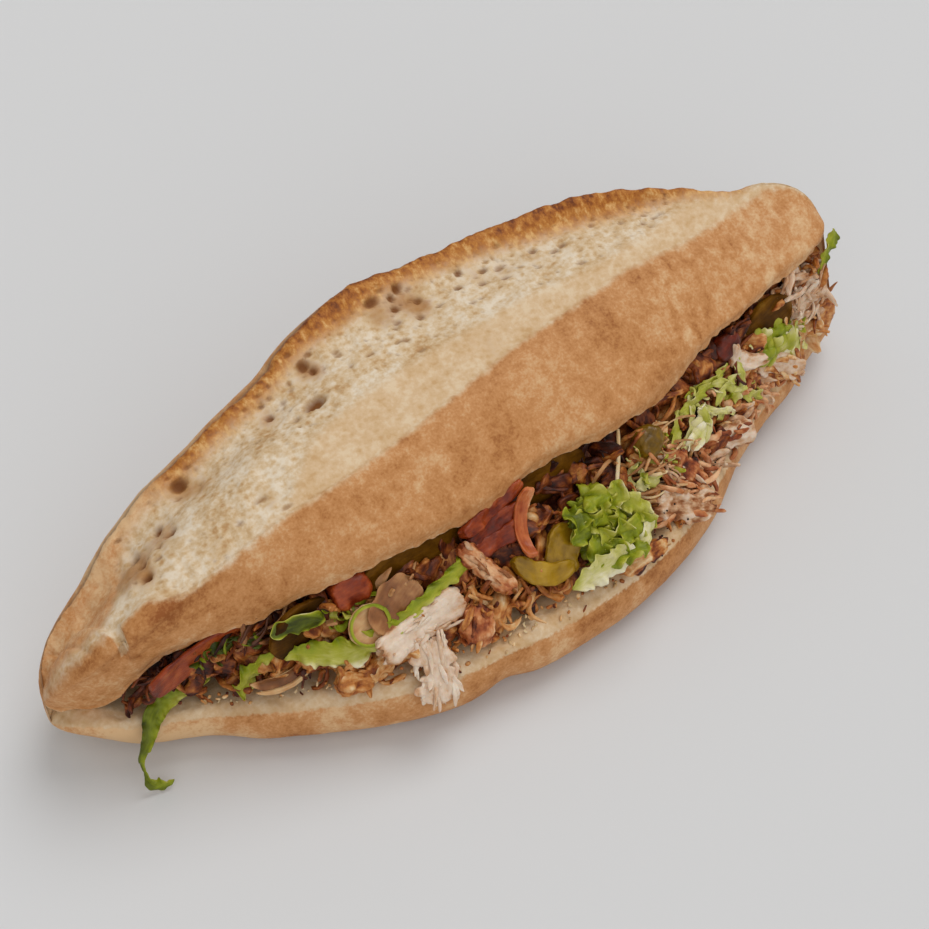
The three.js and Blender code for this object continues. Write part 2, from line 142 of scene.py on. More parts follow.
def bread_polygon(share):
    """Control polygon of the C-shaped section at each share of the length. Points 0 to 11 are the lid from
    its cut edge over the score and the ear to the back, 12 to 21 the base's outside from the back round
    the sole to the lip, 22 to 25 its cut face, and 26 to 28 the hinge and the lid's hidden side."""
    x = mix(LOAF_LEFT, LID_RIGHT, share)
    s = loaf_lines(x)
    crown_y = mix(s.score_y, s.ear_y, 0.45)
    valley_y = mix(s.score_y, s.ear_y, 0.75)
    lid = [
        (s.edge_y + 5, s.edge_z),
        (s.edge_y, s.edge_z - 0.5),
        (s.edge_y - 3, s.edge_z + 7),
        (mix(s.edge_y, s.score_y, 0.3) - 3, mix(s.edge_z, s.score_z, 0.4) + 4),
        (mix(s.edge_y, s.score_y, 0.65), mix(s.edge_z, s.score_z, 0.8) + 3),
        (s.score_y - 1, s.score_z + 1),
        (crown_y, s.score_z + 5),
        (valley_y, s.ear_z - 6 + 7 * ease(100, 145, x)),
        (s.ear_y - 4, s.ear_z + 1.5),
        (s.ear_y + 2, s.ear_z - 1),
        (s.back - 2, s.ear_z * 0.6 + 14),
        (s.back, 36 + 0 * x),
    ]
    under = [(s.back - 16, 46 + 0 * x), ((s.back + s.edge_y) / 2, s.edge_z + 2)]
    size = rounded_ends(x, LOAF_LEFT, LID_RIGHT, *LID_ENDS)
    heart = s.axis + 2, mix(36, 64, ease(-60, 60, x)) + 5 * ease(120, 160, x) - 6 * s.knob
    lid, under = (
        [(x, mix(heart[0], y, size), mix(heart[1], z, size)) for y, z in part] for part in (lid, under)
    )
    x = mix(LOAF_LEFT, BASE_RIGHT, share)
    s = loaf_lines(x)
    middle = (s.front + s.back) / 2
    base = [
        (s.back + 1, 18),
        (s.back - 3, 4),
        (s.back - 13, 0),
        (s.back - 20, 0),
        (middle, 0),
        (s.front + 20, 0),
        (s.front + 13 - 0.6 * s.belly + s.tuck, 0),
        (s.front + 5 - s.belly + s.tuck, 3 - 0.2 * s.belly),
        (s.front - 1 - 0.9 * s.belly + s.tuck, s.lip * 0.55 - 0.6 * s.belly),
        (s.front + 1.5 - 0.2 * s.belly + s.tuck, s.lip - 1.5),
        (s.front + 6 + 0.7 * s.tuck, s.lip),
        (s.front + 20, s.lip - 2.5),
        (middle + 4, s.lip - 4),
        (s.back - 20, s.lip + 2),
        (s.back - 12, 38),
    ]
    size = rounded_ends(x, LOAF_LEFT, BASE_RIGHT, *BASE_ENDS)
    base = [(x, mix(s.axis, y, size), mix(20, z + s.sole_z * (1 - z / 60), size)) for y, z in base]
    points = [np.stack([a + 0 * x, b + 0 * x, c + 0 * x], -1) for a, b, c in lid + base + under]
    return np.stack(points, 1)


LATTICE = 32


def grain(points, size, seed):
    """Smooth random field from -1 to 1: random numbers on a cubic lattice of that size in millimetres,
    blended with smooth steps. A size of three numbers stretches it."""
    table = np.random.default_rng(seed).uniform(-1, 1, (LATTICE,) * 3)
    cell = points / np.asarray(size, float)
    low = np.floor(cell).astype(int)
    k = cell - low
    k = k * k * (3 - 2 * k)
    total = 0
    for corner in np.ndindex(2, 2, 2):
        weight = np.prod(np.where(corner, k, 1 - k), axis=-1)
        at = (low + corner) % LATTICE
        total = total + weight * table[at[..., 0], at[..., 1], at[..., 2]]
    return total


def grains(points, *layers):
    """Sum of fields of grain, each with its weight, size and seed."""
    return sum(weight * grain(points, size, seed) for weight, size, seed in layers)


def outward(loops):
    """Unit normals of a stack of closed loops: the cross product of its two grid directions."""
    along = np.gradient(loops, axis=-3)
    around = np.roll(loops, -1, -2) - np.roll(loops, 1, -2)
    normal = np.cross(around, along)
    normal = normal * np.sign(np.sum(normal * (loops - loops.mean(-2, keepdims=True))))
    return normal / np.maximum(np.linalg.norm(normal, axis=-1, keepdims=True), 1e-9)


def shell(name, loops, **fields):
    """Closed body, or many alike, from stacks of closed loops of points, in millimetres. Each loop is joined
    to the next by quads, the first and last are closed by strips of quads across them, and a body whose
    signed volume is negative is turned round. Fields are one number or colour for each point."""
    stack = loops.reshape((-1,) + loops.shape[-3:])
    count, rows, columns = stack.shape[:3]
    index = np.arange(count * rows * columns).reshape(count, rows, columns)
    near, far = index[:, :-1], index[:, 1:]
    sides = np.stack([near, np.roll(near, -1, 2), np.roll(far, -1, 2), far], -1)
    j = np.arange(columns // 2 - 1)
    across = np.stack([j, j + 1, columns - 2 - j, columns - 1 - j], -1)
    quads = np.concatenate(
        [part.reshape(-1, 4) for part in (sides, index[:, -1][:, across], index[:, 0][:, across[:, ::-1]])]
    )
    points = stack.reshape(-1, 3) + SHIFT
    corner = points[quads]
    volume = np.einsum("ij,ij->i", corner[:, 0] - corner[:, 2], np.cross(corner[:, 1], corner[:, 3]))
    body = quads[:, 0] // (rows * columns)
    flipped = np.bincount(body, volume)[body] < 0
    quads[flipped] = quads[flipped][:, ::-1]
    mesh = bpy.data.meshes.new(name)
    mesh.vertices.add(len(points))
    mesh.vertices.foreach_set("co", (points / METRE).astype(np.float32).ravel())
    mesh.loops.add(quads.size)
    mesh.loops.foreach_set("vertex_index", quads.astype(np.int32).ravel())
    mesh.polygons.add(len(quads))
    mesh.polygons.foreach_set("loop_start", np.arange(0, quads.size, 4, dtype=np.int32))
    mesh.update(calc_edges=True)
    mesh.shade_smooth()
    for field, values in fields.items():
        vector = field == "local"
        attribute = mesh.attributes.new(field, "FLOAT_VECTOR" if vector else "FLOAT", "POINT")
        values = np.broadcast_to(values, stack.shape if vector else stack.shape[:3])
        attribute.data.foreach_set("vector" if vector else "value", values.astype(np.float32).ravel())
    made = bpy.data.objects.new(name, mesh)
    bpy.context.scene.collection.objects.link(made)
    return made


def along_line(values, columns, line):
    """Value of a grid, rows along the loaf, where a line of column numbers crosses each row."""
    at = np.interp(line, columns, np.arange(len(columns)))
    low = np.minimum(at.astype(int), len(columns) - 2)
    rows = np.arange(len(line))
    k = (at - low).reshape((-1,) + (1,) * (values.ndim - 2))
    return values[rows, low] * (1 - k) + values[rows, low + 1] * k


share = spaced(0, 1, ROWS, lambda s: 1 + 5 * np.exp(-s / 0.02) + 5 * np.exp((s - 1) / 0.02))
share = np.clip(share, 2e-4, 1 - 2e-4)


def column_density(c):
    """Columns lie closest over the lid's crust and score, and closer than elsewhere at the base's lip."""
    return 1 + 9 * hill(c, 4.8, 4.8, 4.8, 6) + 3 * hill(c, 21, 2.6, 2.6, 4)


number = spaced(SEAM, SEAM + CONTROLS, COLUMNS + 1, column_density)[:-1]
loaf = closed_spline(bread_polygon(share), number)
x = loaf[..., 0]
line_x = mix(LOAF_LEFT, LID_RIGHT, share)
length = np.concatenate(
    [0 * x[:, :1], np.cumsum(np.linalg.norm(np.diff(loaf, axis=1), axis=-1), axis=1)], axis=1,
)

# Lines on the loaf, as control numbers: the crust's border, the soft ridge, the ear's inner side, its crest,
# the lid's cut edge and the lip.
border = 4.38 + 0.52 * ease(-60, 45, line_x) + 0.08 * hill(line_x, 90, 30, 40, 2)
border = border + 1.4 * ease(105, 170, line_x) + 0.95 * ease(-108, -128, line_x)
border = border + 1.2 * ease(-139, -146, line_x)
ridge = 5.68 - 0.2 * hill(line_x, 76, 25, 25, 2) + 0.95 * ease(95, 130, line_x)
ridge = ridge - 1.2 * ease(-45, -85, line_x) + 1.0 * ease(-105, -128, line_x)
ear = 7.65 - 0.3 * hill(line_x, -14, 18, 18, 2) - 0.75 * hill(line_x, 92, 42, 42, 2)
ear = ear + 1.7 * ease(138, 158, line_x) - 1.85 * ease(-114, -142, line_x)
lines = {"score": border, "torn": ridge, "ear": ear, "outer": 8.75 + 1.2 * ease(136, 156, line_x)}
lines |= {"lid_edge": 1.32 + 0 * ear, "lip": 20.9 + 0 * ear}
past = {mark: length - along_line(length, number, line)[:, None] for mark, line in lines.items()}
lid = (number < LID_CONTROLS)[None, :]
for mark in "score", "torn", "ear", "outer":
    past[mark] = np.where(lid, past[mark], -40)
past["outer"] = np.where(lid, past["outer"], 40)
past["slit"] = np.where(lid, -past.pop("lid_edge"), past.pop("lip"))
# At the left the crust's band ends in a torn flap, and a strip of crumb runs down beside its tip.
strip = hill(x, -138.6, 1.5, 2.2, 4) * ease(3.3, 3.9, number) * ease(6.0, 5.2, number)
past["score"], past["torn"] = mix(past["score"], 4, strip), mix(past["torn"], 4, strip)
past["ear"] = mix(past["ear"], -4, strip)

# Relief, in millimetres along the normal: leathery crust, the score's step, torn crumb and toasted bristles.
normal = outward(loaf)
height = grains(loaf, (0.6, 24, 1), (0.16, 5.5, 2), (0.05, 1.9, 3))
step = 1.4 - 0.8 * ease(-90, 10, x) - 0.6 * ease(105, 150, x)
inside = ease(-1, 4, past["torn"]) * ease(3, -1, past["outer"])
height = height - step * ease(0, 1.6, past["score"]) * ease(5, 1, past["outer"])
crumb = grains(loaf, (0.55, 7, 4), (0.34, (3.6, 2.6, 2.6), 5), (0.16, (2.0, 1.4, 1.4), 6))
streaks = 0.25 * grain(loaf, (2.2, 9, 9), 7)
toasted = ease(-7, 3, past["ear"]) * ease(2, -1, past["outer"]) * ease(-118, -95, x)
bristles = grains(loaf, (0.12, (1.3, 3, 3), 8), (0.6, (6, 8, 8), 9), (0.3, (2.8, 3, 3), 10))
height = height + inside * (1 - 0.7 * toasted) * (crumb + streaks - 0.4) + toasted * bristles
height = height + 1.0 * near(past["torn"] + 1.5, 4) * ease(-75, -30, x) * ease(135, 105, x)
flap = ease(3.0, 3.5, number) * ease(5.7, 5.2, number)
height = height + flap * (ease(-138.2, -136.4, x) * ease(-112, -134, x) * 1.3 - 0.8 * strip)
fold = x + 148.5 + 3.8 * (number - 5.57)
height = height - 0.8 * near(fold, 0.9) * ease(5.1, 5.6, number) * ease(8.4, 7.4, number)
wrinkle = (
    near(grain(loaf, (6, 26, 26), 11), 0.06) * hill(x, 128, 26, 26, 2) * hill(number, 4.0, 1.6, 1.6, 2)
)
height = height - 0.45 * wrinkle


def spots(table):
    """Soft round spots on the loaf: place along it, control number, reach in millimetres and strength."""
    total = 0
    for place, line, reach, strength in table:
        apart = (x - place) ** 2 + (CONTROL_GAP * (number - line)) ** 2
        total = total + strength * np.exp(-(apart / reach**2))
    return total


# Torn pockets of the crumb, sunk and tanned.
POCKETS = [
    (-36.5, 7.15, 4, 1.0), (-33, 6.8, 3, 0.6), (-3, 7.1, 6, 0.8), (8, 7.1, 6, 0.9), (13, 6.75, 4, 0.7),
    (36, 6.9, 4, 0.5), (-108, 6.5, 5, 0.9), (-119, 6.5, 5, 0.9), (-121, 5.9, 3.5, 0.8), (-94, 7.35, 5, 1.0),
    (-88, 6.9, 4, 0.6), (-127, 6.5, 6, 0.9), (-57, 7.0, 4, 0.7), (-75, 5.2, 3, 0.5), (46, 6.7, 4, 0.5),
    (22, 5.15, 6, 0.3), (-98, 4.95, 5, 0.35), (58, 6.6, 4, 0.4),
]
past["pocket"] = spots(POCKETS) * lid
height = height - 0.9 * past["pocket"] * (1 + 0.8 * grain(loaf, 2.6, 24))
loaf = loaf + normal * height[..., None]

# Bubbles of the crumb that the score laid open: place along the loaf, control number, half the length and
# half the width. The named ones are the large ones, and the drawn ones are fine pores.
BUBBLES = [
    (-42.3, 6.3, 4.6, 2.7), (8, 7.5, 2.1, 2.1), (4.3, 7.27, 1.6, 1.5), (3.3, 6.96, 1.9, 1.5),
    (-2.9, 7.38, 3.0, 1.9), (-36.1, 7.25, 2.2, 2.2), (-35, 6.95, 1.5, 1.6), (13, 6.95, 1.8, 1.3),
    (9.6, 6.5, 1.6, 1.2), (-14.9, 6.28, 2.0, 0.9), (-3.2, 6.17, 2.6, 0.9), (-93.7, 7.45, 3.2, 2.3),
    (-108.3, 6.82, 2.2, 1.8), (-106.7, 6.3, 2.6, 1.6), (-119.4, 6.8, 2.4, 2.0), (-119.9, 6.25, 2.2, 1.9),
    (-121.8, 5.85, 2.2, 1.8), (-77.2, 5.3, 3.2, 0.9), (-71.6, 4.75, 2.2, 0.8), (32.1, 7.2, 1.6, 1.4),
    (40.3, 6.91, 1.8, 1.2), (46.1, 6.75, 2.2, 1.0), (28.3, 6.77, 1.8, 1.2), (36, 6.54, 1.8, 1.1),
    (51.4, 6.42, 1.4, 0.9), (-56.3, 7.05, 1.8, 1.4), (-24, 6.73, 1.5, 1.0), (60, 6.75, 1.6, 1.2),
    (70, 6.5, 1.6, 1.1),
]
PORES, PORES_LEFT, PORES_RIGHT = 320, -128, 118
draw = np.random.default_rng(21)
for _ in range(PORES):
    place = draw.uniform(PORES_LEFT, PORES_RIGHT)
    low, high = np.interp(place, line_x, ridge), np.interp(place, line_x, ear)
    half = 0.35 + 0.75 * draw.random() ** 4
    BUBBLES.append((place, draw.uniform(low + 0.1, high + 0.4), half * draw.uniform(0.9, 2.0), half))
pit = 0 * x
for place, line, half_length, half_width in BUBBLES:
    rows = np.abs(line_x - place) < 3 * half_length + 1
    columns = np.abs(number - line) < 1.6
    window = np.ix_(rows, columns)
    centre_row = np.abs(line_x[rows] - place).argmin()
    patch = loaf[window]
    centre = patch[centre_row, np.abs(number[columns] - line).argmin()]
    apart = (patch - centre) / (half_length, half_width, half_width)
    depth = np.clip(1.25 - np.sum(apart**2, -1), 0, 1)
    pit[window] = np.maximum(pit[window], depth * min(1, half_width / 1.5))
    patch -= normal[window] * (depth**0.5 * 0.9 * half_width)[..., None]
    loaf[window] = patch

# The cut lid edge, the lip and the ear's crest are torn, so they wander along the loaf.
run = np.stack([x, 0 * x, 0 * x], -1)
wander = grains(run, (0.9, 9, 12), (0.5, 3.3, 13), (0.15, 1.7, 14))
edge = near(past["slit"], 2.5) * wander + 1.3 * near(past["slit"], 1.0) * (1 + 0.4 * grain(run, 2.1, 25))
fall = (
    2.6 * hill(x, -93, 16, 14, 2) - 2.0 * hill(x, 15, 10, 10, 2) + 2.2 * hill(x, 72, 14, 14, 3)
    - 3.6 * hill(x, 106, 11, 15, 2)
)
edge = edge + near(past["slit"], 7) * fall
loaf[..., 1:] += (edge * lid)[..., None] * (-0.5, -0.8)
loaf[..., 2] += near(past["slit"] - 4, 5) * ~lid * grains(loaf, (0.6, 7, 15), (0.5, 2.4, 16))
crest = near(past["outer"], 2.6) * lid * ease(-105, -75, x) * ease(150, 130, x)
crest_torn = grains(run, (0.3, 11, 17), (0.2, 2.6, 18), (0.15, 1.2, 19))
loaf[..., 2] += crest * (crest_torn + 1.5 * hill(x, 75, 45, 40, 3))
for nick, deep in (-47, 1.2), (-113, 1.0), (-70, 0.6), (15, 0.6), (62, 0.7):
    loaf[..., 2] -= deep * np.exp(-(((x - nick) / 1.1) ** 2) - (past["outer"] / 3) ** 2) * lid
# How deep each point lies in a bubble, which the shader turns into painted shade.
past["pit"] = pit
past = {mark: np.clip(value, -30, 30) for mark, value in past.items()}
# Where the crust baked browner, or stayed paler where the strength is below 0.
PATCHES = [
    (67, 3.8, 14, 0.6), (93, 2.8, 11, 0.5), (-124, 4.4, 13, 1.4), (-100, 3.4, 26, 0.4), (-152, 5.0, 6, 0.8),
    (-118, 9.0, 24, -1.2), (-145, 7.0, 16, -0.5), (-95, 9.5, 20, -0.8), (12, 3.0, 12, 0.6),
    (-8, 3.6, 9, 0.5), (30, 2.5, 18, -0.3), (150, 3.6, 26, -0.4), (5, 4.1, 22, 0.25), (-40, 2.2, 25, -0.1),
    (110, 4.2, 14, -0.2),
]
past["brown"] = spots(PATCHES)
baked = grains(loaf, (0.3, (9, 14, 14), 26), (0.6, (2.6, 9, 9), 35), (0.7, (1.6, 2.6, 2.6), 36))
past["brown"] = past["brown"] + 0.5 * wrinkle + baked * (0.3 + 0.5 * hill(x, 120, 45, 60, 4))
base_bloom = grains(loaf, (0.9, (16, 8, 8), 27), (0.6, 4, 28)) + 0.3 * ease(-60, 0, x)
base_bloom = base_bloom - 1.3 * ease(-95, -140, x)
past["brown"] = np.where(lid, past["brown"], base_bloom)
past["toasted"] = ease(-112, -90, x) * ease(157, 141, x)
# Where the base's cut face took up juice and sauce.
juice = 0.1 * ease(-45, -80, x) * ease(-11, -5, -past["slit"]) + 0.3 * ease(120, 150, x)
past["stain"] = np.where(lid, 0, juice + 0.25 * ease(0.0, 0.6, grain(loaf, 7, 29)))


def box_of(node):
    """Low and high corner of a solid's box, in millimetres."""
    return (np.array(corner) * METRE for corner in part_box(node))


bread_low, bread_high = box_of("bread")
# Way from the loaf's own frame to the sandwich's, in millimetres.
double_offset = bread_low[1] + bread_high[1] - loaf[..., 1].min() - loaf[..., 1].max()
SHIFT = np.array([bread_low[0] - LOAF_LEFT, double_offset / 2, 0])
bread = shell("bread", loaf, **past)
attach(bread, "root")
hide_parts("bread")


def linear(code):
    """Linear colour of an sRGB hex code."""
    value = np.array([int(code[i : i + 2], 16) for i in (0, 2, 4)]) / 255
    value = np.where(value <= 0.04045, value / 12.92, ((value + 0.055) / 1.055) ** 2.4)
    return (*value, 1.0)


def add(tree, kind, inputs=(), out=0, stops=(), **settings):
    """Adds one node: its properties, its sockets as values or links, and a ramp's stops. Returns an
    output."""
    made = tree.nodes.new(kind)
    for key, value in settings.items():
        setattr(made, key, value)
    for key, value in dict(inputs).items():
        if isinstance(value, bpy.types.NodeSocket):
            tree.links.new(value, made.inputs[key])
        else:
            made.inputs[key].default_value = value
    for k, (place, code) in enumerate(stops):
        stop = made.color_ramp.elements[k] if k < 2 else made.color_ramp.elements.new(place)
        stop.position, stop.color = place, linear(code)
    return made.outputs[out] if made.outputs else made


def calc(tree, operation, *values):
    """Adds one math node over numbers or links. Returns its output."""
    return add(tree, "ShaderNodeMath", dict(enumerate(values)), operation=operation)


def weighted(tree, total, *parts):
    """Total plus each part times its weight, each a number or a link."""
    for part, weight in parts:
        total = calc(tree, "MULTIPLY_ADD", part, weight, total)
    return total


def laid_over(tree, factor, under, over):
    """The colour under, covered by the colour over as far as the factor says."""
    FACTOR, A, B, RESULT = 0, 6, 7, 2
    return add(tree, "ShaderNodeMix", {FACTOR: factor, A: under, B: over}, RESULT, data_type="RGBA")


def carried(tree, name):
    """Number of that name which the mesh carries at its points, such as the distance past a line."""
    return add(tree, "ShaderNodeAttribute", out=2, attribute_name=name)


def ramp(tree, factor, *stops):
    """Colour that a factor picks between the stops."""
    return add(tree, "ShaderNodeValToRGB", {0: factor}, stops=stops)


def smooth_range(tree, value, low, high, start=0.0, end=1.0):
    """Value brought from low..high to start..end by a smooth step."""
    inputs = dict(enumerate((value, low, high, start, end)))
    return add(tree, "ShaderNodeMapRange", inputs, interpolation_type="SMOOTHSTEP")


def noise(tree, vector, size, detail, roughness=0.5):
    """Noise whose blotches are about size millimetres wide."""
    inputs = {"Vector": vector, "Scale": METRE / size, "Detail": detail, "Roughness": roughness}
    return add(tree, "ShaderNodeTexNoise", inputs)


def new_material(name, **sockets):
    """A material with one principled shader whose plain sockets are set. Returns the material, its tree and
    its shader."""
    made = bpy.data.materials.new(name)
    made.use_nodes = True
    shader = made.node_tree.nodes["Principled BSDF"]
    for key, value in sockets.items():
        shader.inputs[key.replace("_", " ")].default_value = value
    return made, made.node_tree, shader


# Baked white bread: a dull, floury, leathery crust, and crumb that is rougher and paler where it tore.
material, tree, shader = new_material("baked_white_bread", Roughness=0.62, Specular_IOR_Level=0.3)
coords = add(tree, "ShaderNodeTexCoord", out=3)


def ragged(mark, wobble, soft):
    """0 before and 1 past a line: the distance in the named attribute, plus a wobble in millimetres."""
    distance = carried(tree, mark)
    moved = calc(tree, "ADD", distance, wobble)
    return smooth_range(tree, moved, -soft, soft)


def wobble(field, reach):
    """Noise centred on 0, reach millimetres from its lowest to its highest."""
    return calc(tree, "MULTIPLY", calc(tree, "ADD", field, -0.5), reach)


flour, leather, patch, pores = (
    noise(tree, coords, size, detail, 0.6) for size, detail in ((1.0, 2), (3.6, 3), (15, 3), (1.6, 3))
)
bristle_space = add(tree, "ShaderNodeMapping", {"Vector": coords, "Scale": (1, 0.6, 0.6)})
bristle = noise(tree, bristle_space, 2.8, 5, 0.7)
by_leather, by_pores, by_bristle = wobble(leather, 5), wobble(pores, 3), wobble(bristle, 12)
# Crust: three scales of baking colour, pushed darker by the brown attribute.
brown = carried(tree, "brown"), -0.12
blend = weighted(tree, 0.03, (patch, 0.4), (leather, 0.3), (flour, 0.3), brown)
crust = ramp(tree, blend, (0.3, "8f501d"), (0.44, "b57a43"), (0.54, "c58c57"), (0.7, "d9b284"))
# Torn crumb: fine pores over broad whiter and yellower patches.
tender = weighted(tree, -0.035, (patch, 0.45), (leather, 0.42), (pores, 0.34))
cell_space = add(tree, "ShaderNodeMapping", {"Vector": coords, "Scale": (0.6, 1, 1)})
cells = add(tree, "ShaderNodeTexVoronoi", {"Vector": cell_space, "Scale": METRE / 2.2, "Randomness": 1.0})
cells = smooth_range(tree, cells, 0.1, 0.6, -0.05, 0.03)
tender = calc(tree, "ADD", tender, cells)
crumb = ramp(tree, tender, (0.42, "b98f5f"), (0.5, "c9a97e"), (0.58, "d5bb97"), (0.7, "e3d3bb"))
floury = ramp(tree, tender, (0.42, "c59e6e"), (0.5, "cdab7f"), (0.58, "d3b38b"), (0.7, "dcc3a0"))
# Toasted ear: scorched bristles, darker further past the ear's inner side.
toasting = weighted(tree, 0.005, (bristle, 0.85), (carried(tree, "ear"), -0.014), (leather, 0.3))
toast = ramp(tree, toasting, (0.34, "6a320b"), (0.44, "9a5719"), (0.55, "b97830"), (0.7, "dcae70"))
rim = add(tree, "ShaderNodeMapRange", {0: carried(tree, "outer"), 1: -0.5, 2: 3.5, 3: 0.9, 4: 0.0})
back_crust = laid_over(tree, rim, crust, linear("5d4429"))
ear_part = calc(tree, "MULTIPLY", ragged("ear", by_bristle, 5), carried(tree, "toasted"))
sunk = weighted(tree, carried(tree, "pocket"), (leather, 1.1), (pores, 0.8))
pocket = smooth_range(tree, sunk, 1.1, 2.1, 0.0, 0.85)
stain = carried(tree, "stain")
layers = [
    (ragged("score", by_leather, 1.7), floury),
    (ragged("torn", by_leather, 3), crumb),
    (pocket, linear("a9743c")),
    (ragged("ear", by_leather, 4), crust),
    (ear_part, toast),
    (ragged("outer", by_pores, 0.8), back_crust),
    (ragged("slit", by_pores, 0.6), floury),
    (calc(tree, "MULTIPLY", ragged("slit", by_pores, 0.6), stain), linear("a8793f")),
    # Painted shade in the bubbles: darker the deeper and wider they are.
    (carried(tree, "pit"), linear("7a4819")),
]
colour = crust
for factor, over in layers:
    colour = laid_over(tree, factor, colour, over)
tree.links.new(colour, shader.inputs["Base Color"])
bumps = weighted(tree, pores, (leather, 1.0), (flour, 0.5))
bump = add(tree, "ShaderNodeBump", {"Height": bumps, "Strength": 0.4, "Distance": 0.35 / METRE})
tree.links.new(bump, shader.inputs["Normal"])
bread.data.materials.append(material)

# ---------------------------------------------------------------- chicken heap
# Chicken shaved off the turning spit: torn fibrous strips and crumbs, pale inside and caramel to dark brown
# outside, heaped in the slit. A smaller core of packed meat carries them, painted dark as the shade in the
# gaps between them.
def unit(vectors):
    """Vectors divided by their lengths."""
    return vectors / np.maximum(np.linalg.norm(vectors, axis=-1, keepdims=True), 1e-9)


def slope(x, share, lift):
    """Points on the filling's open face, a plane from the base's lip (share 0) to the lid's edge (share 1),
    lifted off it in millimetres, and the face's axes there: along the loaf, up the face, out of it."""
    x = np.asarray(x, float)
    s = loaf_lines(x)
    foot = np.stack([x, s.front + 6, s.lip + 2], -1)
    head = np.stack([x, s.edge_y, s.edge_z - 3], -1)
    rise = unit(head - foot)
    along = np.broadcast_to([1.0, 0, 0], rise.shape)
    out = np.cross(along, rise)
    at = foot + (head - foot) * np.asarray(share)[..., None] + out * np.asarray(lift)[..., None]
    return at, np.stack([along, rise, out], -1)


def turns(turn, roll=0, pitch=0):
    """Rotation matrices, in degrees, for numbers or whole arrays: turn about z after pitch about y after roll
    about x."""
    made = np.eye(3)
    for axis, angle in (2, turn), (1, pitch), (0, roll):
        a = np.radians(np.asarray(angle, float))
        one = np.zeros(a.shape + (3, 3))
        i, j = (axis + 1) % 3, (axis + 2) % 3
        one[..., axis, axis] = 1
        one[..., i, i] = one[..., j, j] = np.cos(a)
        one[..., j, i], one[..., i, j] = np.sin(a), -np.sin(a)
        made = made @ one
    return made


def placed(local, at, axes):
    """Local points of one piece, or of many, moved to their places with their axes."""
    at, axes = np.atleast_2d(at), axes.reshape(-1, 3, 3)
    moved = np.einsum("nij,nrcj->nrci", axes, np.broadcast_to(local, (len(at),) + local.shape[-3:]))
    return moved + at[:, None, None]


def seat(node, *angles):
    """Place of a filling: the middle of its solid's box, and the open face's axes there, turned."""
    low, high = box_of(node)
    middle = (low + high) / 2 - SHIFT
    return middle, slope(middle[0], 0.5, 0)[1] @ turns(*angles)


def morsel(
    length, width, thick, rows=40, columns=44, curl=0, cup=0, twist=0, bow=0, ruffle=0,
    torn=0.1, corner=0.7, blunt=3, seed=0,
):
    """Flat closed bodies along x. The outline is a superellipse of power blunt, the section one too, and both
    are torn by noise. Twist turns the section along x, cup hollows it, ruffle waves its edges, bow bends it
    sideways, and curl bends x round an arc. Every size may be an array, one number for each body. Gives the
    points, and the same points before they were bent."""
    sizes = length, width, thick, curl, cup, twist, bow, ruffle, torn
    sizes = np.broadcast_arrays(*(np.reshape(np.asarray(v, float), (-1, 1, 1)) for v in sizes))
    length, width, thick, curl, cup, twist, bow, ruffle, torn = sizes
    count = len(length)
    offset = np.random.default_rng(seed).uniform(0, 400, (count, 1, 1, 3))
    u = np.sin(np.linspace(-1, 1, rows) * 1.5)[None, :, None] * np.ones((count, 1, 1))
    a = np.linspace(0, 2 * np.pi, columns, endpoint=False)[None, None]
    outline = (1 - np.abs(u) ** blunt) ** (1 / blunt)
    side, face = (np.sign(f(a)) * np.abs(f(a)) ** corner for f in (np.cos, np.sin))
    x = u * length / 2 + 0 * a
    edge = np.stack([x, side * width * 0.5 + 0 * x, 0 * x], -1) + offset
    tear = grains(edge, (1, (4, 9, 9), seed), (0.6, (1.6, 5, 5), seed + 1))
    y = side * outline * width / 2 * (1 + torn * tear)
    ends = grains(edge, (0.4, (60, 3.2, 9), seed + 2), (0.25, (60, 1.3, 9), seed + 4))
    x = x * (1 + torn * ends)
    z = face * outline**0.5 * thick / 2 * (1 + 0.25 * grain(edge, 5, seed + 3))
    flat = np.stack([x, y, z], -1)
    z = (
        z + cup * ((y / width * 2) ** 2 - 0.4)
        + ruffle * (y / width * 2) * np.sin(1.1 * x + offset[..., 0] + y / width)
    )
    y = y + bow * ((x / length * 2) ** 2 - 0.5)
    angle = twist * u
    y, z = y * np.cos(angle) - z * np.sin(angle), y * np.sin(angle) + z * np.cos(angle)
    bend = np.where(np.abs(curl) < 1e-3, 1e-3, curl)
    radius = length / (2 * bend)
    sag = radius * (1 - np.sinc(bend / np.pi))
    x, z = (radius - z) * np.sin(x / radius), radius - (radius - z) * np.cos(x / radius) - sag
    return np.stack([x, y, z], -1), flat + offset


def serve(name, slot, material, nodes, loops, flat, tone):
    """A finished piece. Its mesh carries its tone, and flat, its points before they were bent, which its
    fibres follow. It takes its material, rides on the sandwich and stands for its solids. Slot is not used."""
    made = shell(name, loops, local=flat / METRE, tone=tone)
    made.data.materials.append(material)
    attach(made, "root")
    if nodes:
        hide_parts(*nodes)


